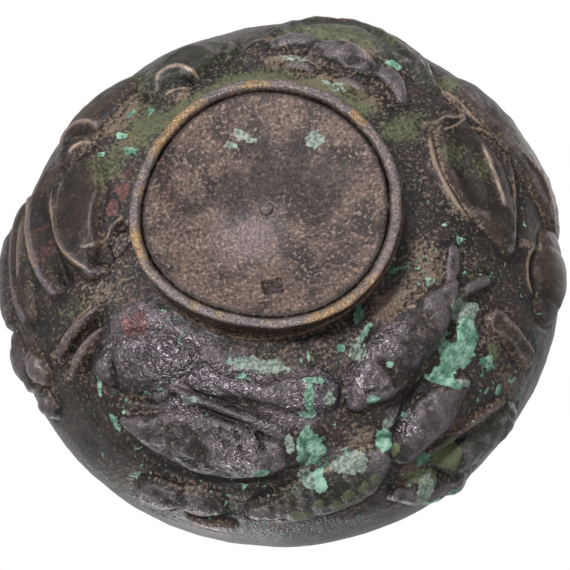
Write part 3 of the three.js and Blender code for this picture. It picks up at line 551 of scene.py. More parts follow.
# Corrosion and deposits: [degrees round, mm up, half length, half width, turn from round towards up, strength]
corrosion = {
    "malachite": [
        [236, 28.4, 3.4, 2.6, -42, 1], [230.5, 26.9, 5.4, 4.2, -48, 1], [225, 26.8, 3.4, 3.8, -53, 0.8],
        [274.5, 29.3, 4, 4.8, -12, 1], [251, 44.5, 1.7, 2.3, -40, 1], [252, 60.5, 6, 2.2, -50, 1],
        [269.5, 11.9, 2.9, 0.9, -16, 1], [271.5, 15.7, 1.3, 4.4, -15, 1], [272.5, 20.4, 2.2, 1.2, -14, 0.9],
        [246, 6.3, 1, 2.9, -66, 0.9], [244.5, 1.6, 1.1, 3.2, -50, 0.8], [256.5, 6.7, 1.4, 1.4, -32, 0.8],
        [330.5, 29.2, 0.7, 3.4, 45, 1], [322.5, 34.4, 0.8, 2.6, 56, 1], [247, 16.8, 1.1, 1, -31, 1],
        [229, 45, 1.3, 2.1, -61, 0.9], [137, 24.8, 2.7, 1.2, 12, 0.9], [257, 33, 3.2, 2.7, -30, 0.9],
        [238.5, 28.8, 4.6, 1, -60, 0.9], [273.5, 38, 1.7, 3.2, 10, 0.8], [255.5, 22, 1.7, 0.9, -27, 1],
        [227, 36.3, 2.3, 2, -50, 0.8], [285.5, 33.7, 2.5, 1, 21, 0.9], [248, 60, 3, 1.6, -50, 1],
        [56, 17, 1.6, 1, 0, 0.8], [60, 12, 1.4, 1.2, 0, 0.7], [48, 14, 1.2, 2.2, 0, 0.8], [44, 8, 1.4, 2.6, 0, 0.7],
        [40, 16, 1.2, 1.2, 0, 0.8],
    ],
    "pale": [
        [221, 23, 4.1, 3.4, -58, 1], [288.5, 5.9, 8.4, 2, -2, 1], [266, 17.6, 1.5, 1.9, -19, 1],
        [306, 18.3, 2.5, 1.3, 17, 1], [266, 35.4, 4.2, 2.4, 11, 1], [254.5, 30.4, 2, 1.3, -29, 1],
        [278.5, 27.1, 1.4, 2.8, -5, 0.9], [254, 53.8, 2.2, 6, -44, 0.9], [236, 32, 5.3, 0.9, -47, 1],
        [252, 9, 2.4, 4, -40, 0.7], [231, 25, 2.2, 4.5, -20, 0.9], [276, 37, 2.6, 2.4, 0, 0.8],
        [110, 14, 4, 1.6, 0, 0.7], [128, 6.4, 3.4, 1.2, 0, 0.7],
    ],
    "olive": [
        [224.5, 27.5, 2.4, 4, -53, 1], [246, 47, 3.8, 5.6, -35, 1], [252.5, 50.3, 4, 2.2, -31, 1],
        [268.5, 43, 1.6, 1.7, 17, 1], [265, 42.2, 1.4, 1.6, -21, 1], [271, 45.2, 1.3, 1.6, -3, 1],
        [278.5, 46.7, 2.4, 1.8, -10, 1], [274.5, 43.5, 1.4, 1.2, 0, 1], [256, 37.2, 1.4, 1.8, -31, 1],
        [224, 36.5, 1.5, 2.4, -50, 0.8], [262, 41, 1.2, 1.2, 0, 1],
    ],
    "cuprite": [
        [334, 10, 3.6, 3.3, 40, 1], [28, 4.8, 2.2, 3, 90, 1], [20.5, 6.7, 2, 2.8, 90, 0.9],
        [35.5, 4.7, 2.1, 1.9, -70, 0.8], [275, 26.6, 1.6, 1.1, -7, 0.7], [288.5, 29.7, 1.7, 1.1, 2, 0.7],
        [237.5, 8.3, 1.6, 1.6, -50, 0.6], [10, 30, 2.4, 7, 40, 0.6], [18, 31, 1.6, 6, 40, 0.6], [340, 6, 4, 4, 0, 0.5],
        [322, 6, 5, 2.5, 0, 0.35],
    ],
    "dust": [
        [55, 9, 8, 8, 0, 0.9], [38, 12, 7, 7, 0, 0.7], [73, 5, 13, 4, 0, 1], [97, 6, 12, 4.5, 0, 1], [90, 18, 7, 6, 0, 0.4],
        [121, 29, 15, 6, 10, 0.8], [158, 9, 5, 8, 0, 0.8], [172, 17, 4, 4, 0, 0.7], [118, 4.5, 14, 2.6, 0, 1],
        [137, 5, 8, 3, 0, 0.9], [178, 24, 4, 4, 0, 0.5], [352, 22, 3, 8, 0, 0.5], [208, 22, 8, 8, 0, 0.35],
        [66, 22, 5, 5, 0, 0.5], [150, 33, 3, 5, 0, 0.8],
    ],
    "earth": [
        [110, 12.5, 7, 3.4, 0, 1], [124, 6.6, 9, 3, 0, 1], [140, 7.4, 4, 2.6, 0, 0.9], [106, 25, 5, 2.4, 0, 0.7],
        [130, 27.1, 2.6, 2, 0, 1], [52, 18, 7, 5, 0, 0.8], [48, 10, 5, 5, 0, 0.6], [72, 9.5, 3, 2, 0, 0.8],
        [40, 22, 3, 3, 0, 0.8], [346, 26, 1.6, 9, 3, 1], [340, 27, 1.6, 7, 3, 1], [343.5, 44.6, 3, 2, 0, 0.9],
        [232, 6, 12, 5, 0, 0.55], [214, 8, 9, 6, 0, 0.6], [262, 32, 5, 5, 0, 0.6], [254, 45, 3, 8, -20, 0.75],
        [222, 33, 4, 8, 0, 0.55], [226, 46, 3, 5, 0, 0.7], [246, 41, 7, 1.3, -12, 0.8], [302, 43, 5, 2, 0, 0.6],
        [331, 26, 3, 6, 0, 0.5], [324, 22, 5, 3, 0, 0.5], [178, 12, 9, 1.6, 0, 0.8], [192, 17, 3, 5, 0, 0.7],
        [165, 16, 2, 4, 0, 0.6], [12, 24, 9, 1.5, -16, 0.8], [2, 10, 5, 4, 0, 0.5], [350, 12, 5, 6, 0, 0.45],
        [272, 4, 16, 4, 0, 0.35], [284, 51, 4, 2, 0, 0.5], [153, 29, 5, 1.6, 0, 0.7], [196, 38, 1.2, 6, 10, 0.8],
    ],
    # Crinkled crust, whose light grey-violet colour in the shader is a painted sheen
    "crust": [
        [316, 9, 16, 9, 0, 1], [298, 10, 12, 6, 0, 0.9], [290, 27, 10, 7, 0, 0.8], [308, 20, 8, 5, 0, 0.8],
        [272, 14, 8, 6, 0, 0.8], [243, 11, 8, 4, 0, 0.9], [256, 16, 5, 5, 0, 0.9], [252, 33, 4, 4, 0, 0.8],
        [335, 18, 5, 8, 0, 0.6], [282, 20, 12, 5, 0, 0.6], [272, 33, 10, 3, 0, 0.5], [300, 48, 8, 4, 0, 0.4],
    ],
    "smooth": [
        [20, 18, 14, 9, 0, 1], [24, 40, 18, 14, 0, 1], [355, 46, 12, 14, 0, 0.8], [48, 34, 12, 9, 0, 1],
        [80, 24, 12, 9, 0, 1], [60, 45, 30, 14, 0, 0.9], [106, 34, 14, 8, 0, 0.6], [196, 42, 16, 14, 0, 0.9],
        [160, 42, 16, 12, 0, 0.8], [180, 27, 14, 9, 0, 0.5], [330, 44, 18, 12, 0, 0.7], [210, 56, 16, 14, 0, 0.9],
    ],
}
raggedMap = 0.34 * mapNoise(2.6, 31) + 0.24 * mapNoise(1.0, 37)


# Cover of one kind: strength inside a ragged ellipse and 0 outside, with a soft or a crisp edge
def coverOf(kind):
    cover = np.zeros(mapArc.shape)
    soft = 0.8 if kind in ("dust", "earth", "crust", "smooth") else 0.14
    for azimuth, arc, a, b, turn, strength in corrosion[kind]:
        window, x, y = aroundPlace(azimuth, arc, 2 * max(a, b) + 2, turn)
        distance = np.hypot(x / a, y / b) + raggedMap[window]
        cover[window] = np.maximum(cover[window], strength * fade(1 + soft, 1 - soft, distance))
    return cover


paintMap = {kind: coverOf(kind) for kind in corrosion}
paintMap["smooth"] = np.maximum(paintMap["smooth"], 0.9 * fade(56, 66, mapArc))
print("corrosion placed")

# Whole height of the wall's skin; then hollows hold earth, hollows and grooves get painted shade, motifs a dark
# patina, crests are worn glossy with a painted sheen, and raised chased lines get a painted highlight
softReliefs = 0.7 * reliefMap + 0.3 * blurred(reliefMap, 0.4)
crinkleMap = (0.34 - np.abs(mapNoise(2.7, 13))) * 0.45 + 0.2 * mapNoise(1.5, 14)
heightMap = softReliefs + 0.22 * blurred(reliefMap, 1.2) * (1 - motifMap) - 1.3 * grooveMap * (1 - motifMap)
heightMap += lineMap + swellMap + 0.8 * crinkleMap * paintMap["crust"] + 0.25 * crinkleMap * (1 - paintMap["smooth"])
heightMap *= fade(0, 1.6, mapArc) * fade(wallArc, wallArc - 5, mapArc)
crustLift = 0.26 * paintMap["malachite"] + 0.16 * paintMap["pale"] + 0.22 * paintMap["olive"]
heightMap += crustLift * (1 + 0.4 * wobbleMap)
hollowMap = blurred(heightMap, 1.2) - heightMap
broadMap = blurred(heightMap, 5) - heightMap
lowerSide = fade(95, 55, np.abs((mapAzimuth - 262 + 180) % 360 - 180))
speckles = fade(0.5, 0.75, mapNoise(1.1, 41) + 0.4 * mapNoise(6, 43)) * fade(66, 56, mapArc) * lowerSide
paintMap["malachite"] = np.maximum(paintMap["malachite"], 0.75 * speckles * (1 - 0.5 * motifMap))
groundEarth = fade(-0.35, 0.75, 0.6 * mapNoise(8, 47) + 0.4 * mapNoise(2.2, 48) + 0.5 * fade(0.1, 1.2, broadMap))
lowPlaces = fade(0.02, 0.5, hollowMap)
paintMap["earth"] = np.clip(paintMap["earth"] * (1 - 0.55 * motifMap) + 0.42 * groundEarth * (1 - motifMap)
                            * fade(66, 50, mapArc) + 0.3 * lowPlaces, 0, 1)
# Rubbed crests and raised broad places: real wear, which the shader also paints with a light sheen (painted highlight)
paintMap["wear"] = np.clip(fade(0.03, 0.5, -hollowMap) * 0.6 + fade(0.4, 2.2, -broadMap) * 0.7, 0, 1)
grooved = np.clip(1.7 * grooveMap * (1 - motifMap) + fade(0.3, 1.0, -lineMap), 0, 1)
paintMap["earth"] *= 1 - 0.75 * grooved
# Near black over hollows and grooves is painted shade; over the motifs, except where worn, it is a dark patina
paintMap["soot"] = np.clip(0.9 * fade(0.12, 0.7, hollowMap) + 0.55 * motifMap * (1 - paintMap["wear"]), 0, 1)
paintMap["soot"] = np.maximum(paintMap["soot"] * (1 - 0.8 * paintMap["earth"]), 0.85 * grooved)
# Raised chased lines get light tan on their crests: a painted highlight
paintMap["edge"] = fade(0.3, 0.9, lineMap)
print("hollows and crests found")


def surfacePaint(azimuth, arc):
    return {key: sampled(values, azimuth, arc) for key, values in paintMap.items()}


# Bronze finishes

# Cast and chased bronze under a brown oxide skin that centuries of handling have polished: a dark, partly
# metallic brown with a fine grain of pits, glossy on its crests, with dull tan earth in its hollows and
# crusts of green copper salts. A light grey sheen on crust and worn crests and light tan on raised lines are
# painted highlights; near black in hollows, grooves and creases is painted shade, with some dark patina.
bronzeFinishes = {
    "dark": {"slot": "dark_bronze", "deep": "#171413", "brown": "#302927", "fleck": "#7d7068", "gloss": 0.38},
    "brown": {"slot": "brown_bronze", "deep": "#1c1613", "brown": "#3b3029", "fleck": "#7a6a5a", "gloss": 0.4},
    "grey": {"slot": "grey_bronze", "deep": "#1a1719", "brown": "#383235", "fleck": "#8b8287", "gloss": 0.36},
    "tan": {"slot": "tan_bronze", "deep": "#231b16", "brown": "#483b31", "fleck": "#9a8778", "gloss": 0.4},
    "green": {"slot": "green_patina", "deep": "#191914", "brown": "#34322a", "fleck": "#767461", "gloss": 0.38},
    "plate": {"slot": "base_bronze", "deep": "#241c1a", "brown": "#594942", "fleck": "#a08b80", "gloss": 0.36},
    "rim": {"slot": "worn_rim", "deep": "#1d1713", "brown": "#43362c", "fleck": "#8f7a60", "gloss": 0.34},
}
# Layer colours: the light grey-violet is a painted sheen, the light tan for raised lines a painted highlight, and the
# near black painted shade with some dark patina
layerColours = {
    "earth": "#7c6a5c", "earthPale": "#a89686", "dust": "#585b41", "cuprite": "#68403c", "olive": "#5d654b",
    "paleLow": "#728478", "paleHigh": "#a9b6aa", "malachiteLow": "#4b7560", "malachiteHigh": "#94b8a4",
    "soot": "#100d0e", "brass": "#7f6540", "painted_sheen": "#8b8289", "edge": "#9a8470",
}
# Grain sizes in mm: the cast skin's pits are near 0.2 mm and are drawn coarser so that they show
grainSizes = {"mottle": 9.0, "patch": 2.6, "speck": 0.95, "pit": 0.5, "fold": 2.3}


def bronzeMaterial(name):
    look = bronzeFinishes[name]
    material = bpy.data.materials.new("castBronze_" + name)
    material.use_nodes = True
    tree = material.node_tree
    tree.nodes.clear()
    place = addNode(tree, "ShaderNodeTexCoord").outputs["Object"]
    grain = {}
    for key, size in grainSizes.items():
        settings = {"Scale": 1 / (size * mm), "Detail": 2.0 if key == "fold" else 3.0, "Roughness": 0.55}
        if key == "fold":
            settings["Distortion"] = 0.6
        grain[key] = addNode(tree, "ShaderNodeTexNoise", settings, {"Vector": place}).outputs["Fac"]

    def span(value, low, high, start=0.0, end=1.0):
        settings = {"interpolation_type": "SMOOTHSTEP", "From Min": low, "From Max": high, "To Min": start, "To Max": end}
        return addNode(tree, "ShaderNodeMapRange", settings, {"Value": value}).outputs["Result"]

    def combine(operation, *values):
        links = {number: value for number, value in enumerate(values) if hasattr(value, "links")}
        settings = {number: value for number, value in enumerate(values) if not hasattr(value, "links")}
        return addNode(tree, "ShaderNodeMath", {"operation": operation, **settings}, links).outputs[0]

    def over(below, colour, cover):
        links = {0: cover}
        settings = {"data_type": "RGBA"}
        for number, value in ((6, below), (7, colour)):
            if hasattr(value, "links"):
                links[number] = value
            else:
                settings[number] = linear(value)
        return addNode(tree, "ShaderNodeMix", settings, links).outputs[2]

    def paintOf(paintName):
        return addNode(tree, "ShaderNodeAttribute", {"attribute_name": paintName}).outputs["Fac"]

    # paint is broken up by a grain, so that its edge follows the skin's own texture
    def painted(paintName, key, spread, low, high):
        ragged = combine("MULTIPLY_ADD", grain[key], spread, -0.5 * spread)
        return span(combine("ADD", paintOf(paintName), ragged), low, high)

    coarse = combine("SUBTRACT", 1.0, combine("MULTIPLY", paintOf("smooth"), 0.75))
    crinkle = painted("crust", "patch", 0.5, 0.15, 0.85)
    wear = painted("wear", "patch", 0.5, 0.2, 0.9)
    base = over(look["deep"], look["brown"], span(grain["mottle"], 0.34, 0.62))
    base = over(base, look["deep"], combine("MULTIPLY", span(grain["speck"], 0.47, 0.33), combine("MULTIPLY", coarse, 0.9)))
    base = over(base, look["fleck"], combine("MULTIPLY", span(grain["speck"], 0.54, 0.68), combine("MULTIPLY", coarse, 0.55)))
    # Light grey-violet over crinkled crust and worn places is a painted sheen standing for their glossy highlights
    painted_sheen = combine("MAXIMUM", combine("MULTIPLY", crinkle, 0.72), combine("MULTIPLY", wear, 0.28))
    base = over(base, layerColours["painted_sheen"], painted_sheen)
    foldLine = combine("ABSOLUTE", combine("SUBTRACT", grain["fold"], 0.5))
    # Near black along the folds of the crinkles is painted shade in their creases
    crease_shade = combine("MULTIPLY", span(foldLine, 0.05, 0.005), crinkle)
    base = over(base, layerColours["soot"], combine("MULTIPLY", crease_shade, 0.75))
    # Near black layer: painted shade in hollows, grooves, seams and pits, and a dark patina on the motifs
    soot = painted("soot", "patch", 0.5, 0.15, 0.9)
    base = over(base, layerColours["soot"], combine("MULTIPLY", soot, 0.75))
    # Light tan along raised lines is a painted highlight
    edge = painted("edge", "speck", 0.8, 0.2, 0.95)
    base = over(base, layerColours["edge"], combine("MULTIPLY", edge, 0.6))
    earth = painted("earth", "speck", 2.2, 0.3, 0.95)
    earthTone = over(layerColours["earth"], layerColours["earthPale"], span(grain["pit"], 0.48, 0.66))
    base = over(base, earthTone, combine("MULTIPLY", earth, 0.66))
    dust = painted("dust", "speck", 1.8, 0.25, 1.0)
    base = over(base, layerColours["dust"], combine("MULTIPLY", dust, 0.8))
    cuprite = painted("cuprite", "speck", 2.0, 0.4, 1.1)
    base = over(base, layerColours["cuprite"], combine("MULTIPLY", cuprite, 0.7))
    olive = painted("olive", "patch", 0.7, 0.42, 0.6)
    base = over(base, layerColours["olive"], combine("MULTIPLY", olive, 0.9))
    pale = painted("pale", "speck", 1.3, 0.42, 0.75)
    paleTone = over(layerColours["paleLow"], layerColours["paleHigh"], span(grain["speck"], 0.42, 0.6))
    base = over(base, paleTone, combine("MULTIPLY", pale, 0.66))
    malachite = painted("malachite", "speck", 1.3, 0.45, 0.65)
    greenTone = over(layerColours["malachiteLow"], layerColours["malachiteHigh"], span(grain["patch"], 0.36, 0.66))
    greenTone = over(greenTone, look["brown"], span(grain["speck"], 0.42, 0.3, 0.0, 0.7))
    base = over(base, greenTone, combine("MULTIPLY", malachite, 0.95))
    brass = painted("brass", "patch", 1.1, 0.45, 0.95)
    base = over(base, layerColours["brass"], combine("MULTIPLY", brass, 0.8))

    crust = combine("MAXIMUM", combine("MAXIMUM", malachite, pale), combine("MAXIMUM", olive, earth))
    bare = combine("SUBTRACT", 1.0, crust)
    roughness = combine("MULTIPLY_ADD", grain["patch"], 0.2, look["gloss"] - 0.1)
    roughness = combine("MULTIPLY_ADD", wear, -0.08, roughness)
    roughness = combine("MULTIPLY_ADD", crinkle, -0.1, roughness)
    roughness = combine("MULTIPLY_ADD", crust, 0.3, roughness)
    roughness = combine("MULTIPLY_ADD", paintOf("smooth"), 0.12, roughness)
    metallic = combine("MULTIPLY", combine("MULTIPLY_ADD", painted_sheen, 0.8, 0.15), bare)
    ridges = combine("MULTIPLY", span(foldLine, 0.0, 0.16), combine("MULTIPLY", crinkle, 0.75))
    relief = combine("MULTIPLY_ADD", grain["pit"], 0.22, combine("MULTIPLY", grain["speck"], 0.75))
    relief = combine("ADD", combine("MULTIPLY", relief, coarse), ridges)
    relief = combine("ADD", relief, combine("MULTIPLY", malachite, 0.3))
    bump = addNode(tree, "ShaderNodeBump", {"Strength": 1.0, "Distance": 0.6 * mm}, {"Height": relief})
    surface = addNode(tree, "ShaderNodeBsdfPrincipled", {"Specular IOR Level": 0.22}, {
        "Base Color": base, "Roughness": roughness, "Metallic": metallic, "Normal": bump.outputs["Normal"]})
    addNode(tree, "ShaderNodeOutputMaterial", {}, {"Surface": surface.outputs["BSDF"]})
    return material


materials = {name: bronzeMaterial(name) for name in bronzeFinishes}
print("made", len(materials), "bronze finishes")

# Wall: one closed skin from the ledge, up the relief side, over the lip, down the inside and back to the ledge
wallMaking = {"columns": 640, "lowRows": 114, "highRows": 18, "fineArc": 68, "innerRows": 15, "ledgeRows": 4}
turns = np.arange(wallMaking["columns"]) / wallMaking["columns"] * 360
outerArcs = np.concatenate([np.linspace(0, wallMaking["fineArc"], wallMaking["lowRows"]),
                            np.linspace(wallMaking["fineArc"], wallArc, wallMaking["highRows"] + 1)[1:]])
azimuth, arc = [grid.ravel() for grid in np.meshgrid(turns, outerArcs)]
places, normals = wallPlace(azimuth, arc)
paint = surfacePaint(azimuth, arc)
height = sampled(heightMap - 0.6 * coveredMap, azimuth, arc)
outerSkin = places + normals * height[:, None]

opening = 30.95
innerSpan = wallSpan - wallForm["thickness"]
innerLipRadius = wallForm["lipRadius"] - wallForm["thickness"]
innerLip = np.pi - np.arcsin((innerLipRadius - wallForm["lipRound"] - wallForm["flatRadius"]) / innerSpan)
innerStart = np.arcsin((opening - wallForm["flatRadius"]) / innerSpan)
innerRadius, innerHeight = wallSection(np.linspace(innerLip, innerStart, wallMaking["innerRows"]), wallForm["thickness"])
lipTurn = np.radians([30, 60, 90])
lipCentreOut, lipCentreIn = wallForm["lipRadius"] - wallForm["lipRound"], innerLipRadius + 0.2
section = [(lipCentreOut + 0.9 * np.cos(t), bodyTop.z - 1.0 + 1.0 * np.sin(t)) for t in lipTurn]
section += [(lipCentreIn - 0.4 * np.cos(t), bodyTop.z - 0.6 + 0.6 * np.sin(t)) for t in lipTurn[::-1]]
section += list(zip(innerRadius, innerHeight))
section += [(r, wallForm["seatHeight"]) for r in np.linspace(opening, wallForm["footRadius"], wallMaking["ledgeRows"] + 1)[:-1]]
sectionRadius, sectionHeight = np.array(section).T
turnGrid = np.radians(np.broadcast_to(turns, (len(section), len(turns))))
rest = np.stack([sectionRadius[:, None] * np.cos(turnGrid), sectionRadius[:, None] * np.sin(turnGrid),
                 np.broadcast_to(sectionHeight[:, None], turnGrid.shape)], -1).reshape(-1, 3)
insideRows = np.repeat(np.arange(len(section)), len(turns))
inner = (insideRows >= 6) & (insideRows < 6 + wallMaking["innerRows"] - 1)
unevenness = (0.18 * noise(rest, 12, 61) + 0.05 * noise(rest, 3, 67)) * inner
rest[:, :2] *= (1 + unevenness / np.linalg.norm(rest[:, :2], axis=1))[:, None]
restPaint = {key: np.zeros(len(rest)) for key in paint}
restPaint["earth"] = (0.5 * fade(50, 12, rest[:, 2]) + 0.3 * fade(0.2, 0.7, noise(rest, 9, 71))) * inner
restPaint["wear"] = 0.8 * (insideRows < 6) + 0.3 * inner
restPaint["dust"] = 0.6 * fade(0.1, 0.7, noise(rest, 16, 73)) * inner
points = np.vstack([outerSkin, rest])
paint = {key: np.concatenate([paint[key], restPaint[key]]) for key in paint}
faces = gridFaces(len(outerArcs) + len(section), len(turns), True, True).tolist()
makePiece("bowlBody", points, faces, paint, materials["dark"], ["bowl_body"])
print("wall made,", len(faces) * 2, "triangles")


# Grid of a relief piece: rows along its line at cosine steps, columns across it out to a skirt beyond its edge
def reliefGrid(line):
    knots = np.array(line, float)
    middleRadius = radiusAt(knots[:, 1].mean())
    knots[:, 0] = np.radians(knots[:, 0]) * middleRadius
    length = np.hypot(*np.diff(knots[:, :2], axis=0).T).sum()
    skirt = reliefMaking["skirt"]
    rows = max(16, int((length + 2 * knots[:, 2].mean()) / reliefMaking["spacing"]))
    columns = max(14, int(2 * (knots[:, 2].max() + skirt) / reliefMaking["spacing"]))
    # the line runs on at both ends by the half width there and the skirt, and the reach closes in a half circle
    first, last = knots[0, 2] + skirt, knots[-1, 2] + skirt
    share = 0.5 - 0.5 * np.cos(np.pi * np.linspace(0.004, 0.996, rows))
    travel = share * (length + first + last) - first
    centre = smoothLine(knots, travel / length)
    beyond = np.where(travel < 0, travel, np.maximum(travel - length, 0))
    heading = smoothLine(knots, np.clip(travel / length + 0.01, 0.01, 1)) - smoothLine(knots, np.clip(travel / length - 0.01, 0, 0.99))
    heading = heading[:, :2] / np.linalg.norm(heading[:, :2], axis=1)[:, None]
    middle = centre[:, :2] + heading * beyond[:, None]
    reach = np.sqrt(np.maximum((centre[:, 2] + skirt) ** 2 - beyond ** 2, 0.01))
    across = np.sin(np.pi / 2 * np.linspace(-1, 1, columns))[None]
    side = across * reach[:, None]
    arc = np.maximum(middle[:, 1:] + side * heading[:, :1], 0.3)
    radius = radiusAt((middle[:, 1:] + arc) / 2)
    azimuth = np.degrees(middle[:, :1] / middleRadius - side * heading[:, 1:] / radius)
    inside = centre[:, 2:] - np.hypot(side, beyond[:, None])
    return azimuth, arc, inside


# Closed skin of a relief piece: the wall's own surface lifted a hair over its footprint and sunk at its edge,
# a plain back inside the wall's metal, and a fan at each end
def reliefSkin(line, lift):
    azimuth, arc, inside = reliefGrid(line)
    rows, columns = inside.shape
    azimuth, arc = azimuth.ravel(), arc.ravel()
    places, normals = wallPlace(azimuth, arc)
    offset = lift - reliefMaking["sunk"] * fade(-reliefMaking["cover"], -reliefMaking["skirt"], inside.ravel())
    face = places + normals * (sampled(heightMap, azimuth, arc) + offset)[:, None]
    paint = surfacePaint(azimuth, arc)
    pick = np.linspace(columns - 2, 1, reliefMaking["backColumns"]).astype(int)
    back = (places - normals * reliefMaking["backDepth"]).reshape(rows, columns, 3)[:, pick]
    ring = np.concatenate([face.reshape(rows, columns, 3), back], axis=1)
    size = ring.shape[1]
    points = np.vstack([ring.reshape(-1, 3), ring[0].mean(0), ring[-1].mean(0)])
    j = np.arange(size)
    k = (j + 1) % size
    fans = [np.column_stack([k, j, np.full(size, rows * size)]),
            np.column_stack([(rows - 1) * size + j, (rows - 1) * size + k, np.full(size, rows * size + 1)])]
    faces = gridFaces(rows, size, False, True).tolist() + fans[0].tolist() + fans[1].tolist()
    for key, values in paint.items():
        values = values.reshape(rows, columns)
        paint[key] = np.concatenate([np.concatenate([values, values[:, pick]], axis=1).ravel(), [0, 0]])
    return points, faces, paint


for number, piece in enumerate(reliefs):
    lift = reliefMaking["lift"] + 0.01 * (number % 3)
    skins = [reliefSkin(line, lift + 0.015 * place) for place, line in enumerate(piece["parts"])]
    starts = np.cumsum([0] + [len(skin[0]) for skin in skins])
    points = np.vstack([skin[0] for skin in skins])
    faces = [[vertex + start for vertex in face] for start, skin in zip(starts, skins) for face in skin[1]]
    paint = {key: np.concatenate([skin[2][key] for skin in skins]) for key in skins[0][2]}
    words = piece["node"].split("_")
    name = words[0] + "".join(word.capitalize() for word in words[1:])
    finish = piece["finish"]
    makePiece(name, points, faces, paint, materials[finish], [piece["node"]])
print("relief pieces made")

# Foot ring: a low band whose standing face is worn thin and bright, and wanders in and out
footForm = {
    "outer": 36.7, "rimWidth": 2.6, "flare": 0.7, "thickness": 2.6, "round": 0.5, "columns": 900,
    "waves": [[1, 0.55, -119], [2, 0.65, 144], [3, 0.75, -30], [4, 0.4, -48]],
}
footTopZ = footTop.z


# Way out of round: sum of swing * cos(count * azimuth - turn), all at the standing face, none at the top
def footWave(turn, z):
    swing = sum(w[1] * np.cos(w[0] * turn - np.radians(w[2])) for w in footForm["waves"])
    return swing * (1 - z / footTopZ)


def footRing():
    outer, inner = footForm["outer"], footForm["outer"] - footForm["rimWidth"]
    bandOut = outer - footForm["flare"]
    bandIn = bandOut - footForm["thickness"]
    r = footForm["round"]
    knots = [[inner - 0.1, 0.45], [inner + 0.25, 0.12], [inner + 0.7, 0], [(inner + outer) / 2, 0.02], [outer - 0.7, 0.02],
             [outer - 0.2, 0.2], [outer, r], [outer - 0.12, 1.4], [bandOut + 0.1, 3.4], [bandOut, 5.5], [bandOut + 0.1, 7.6],
             [bandOut + 0.4, footTopZ + 0.5], [bandIn + 0.2, footTopZ + 0.5], [bandIn, 8], [bandIn, 5.5], [bandIn, 3],
             [bandIn + 0.1, 1.2]]
    knots = np.array(knots)
    share = np.linspace(0, 1, 5 * len(knots) + 1)
    closed = np.vstack([knots, knots[0]])
    way = np.concatenate([[0], np.cumsum(np.hypot(*np.diff(closed, axis=0).T))])
    radius = np.interp(share[:-1] * way[-1], way, closed[:, 0])
    z = np.interp(share[:-1] * way[-1], way, closed[:, 1])
    turn = np.arange(footForm["columns"]) / footForm["columns"] * 2 * np.pi
    turnGrid, radiusGrid = np.meshgrid(turn, radius, indexing="ij")
    zGrid = np.broadcast_to(z, turnGrid.shape)
    flat = np.stack([radiusGrid * np.cos(turnGrid), radiusGrid * np.sin(turnGrid), zGrid], -1).reshape(-1, 3)
    dents = 0.16 * fractal(flat, 5, 2, 91) + 0.07 * noise(flat, 1.6, 97)
    shift = footWave(turnGrid, zGrid).ravel() + dents
    nick = fade(0.45, 0.75, noise(flat * [1, 1, 0.2], 3.2, 101)) * fade(2, 0, flat[:, 2])
    lift = 0.22 * nick + 0.12 * (1 + noise(flat * [1, 1, 0], 7, 103)) * fade(1.2, 0, flat[:, 2])
    points = flat.copy()
    points[:, :2] *= (1 + shift / radiusGrid.ravel())[:, None]
    points[:, 2] = flat[:, 2] + lift * fade(footTopZ, 1, flat[:, 2])
    face = fade(1.4, 0.1, flat[:, 2])
    outside = radiusGrid.ravel() > (inner + outer) / 2
    paint = {
        "brass": face * np.clip(0.5 + 0.45 * noise(flat * [1, 1, 0.3], 6, 107), 0, 1),
        "wear": 0.8 * face + 0.2 * outside,
        "earth": 0.8 * fade(5, 9, flat[:, 2]) * outside + 0.45 * fade(1.5, 5, flat[:, 2]) * (~outside),
        # Near black inside the ring, deepening towards the plate, is painted shade in the gap; the patches outside are
        # dark patina
        "soot": 0.9 * (~outside) * fade(0.8, 3, flat[:, 2]) + 0.35 * outside * fade(1, 3, flat[:, 2]) * (noise(flat, 5, 109) > 0),
        "dust": 0.5 * outside * fade(2, 6, flat[:, 2]) * fade(-0.3, 0.5, np.sin(turnGrid.ravel())),
        "malachite": np.zeros(len(flat)), "pale": np.zeros(len(flat)), "olive": np.zeros(len(flat)),
        "cuprite": np.zeros(len(flat)),
    }
    faces = gridFaces(len(turn), len(radius), True, True).tolist()
    makePiece("footRing", points, faces, paint, materials["rim"], ["foot_ring"])


footRing()
print("foot ring made")

# Base plate: dished from below, with a core support's square pit, darker patches of painted shade and a gentle dip on
# its inner side
plateForm = {
    "edge": 0.8, "hollow": 4.2, "floorDip": 2, "spigot": 30.6, "columns": 520, "rows": 84,
    "pit": {"place": [3.4, -23.4], "half": [2.7, 2.2], "depth": 1.5},
    "greenSpots": [[1.2, 22.2, 3, 1.5, 35], [4.4, 20.2, 2, 1.2, 20], [-17.8, 15.7, 2.6, 2.8, 0]],
    "shade_patches": [[-1, 9, 17, 8, -20, 1.0], [-15, 3, 10, 9, 0, 0.9], [17, 4.9, 5.5, 1.8, 4, 0.95], [4, -4, 9, 7, 30, 0.35]],
}


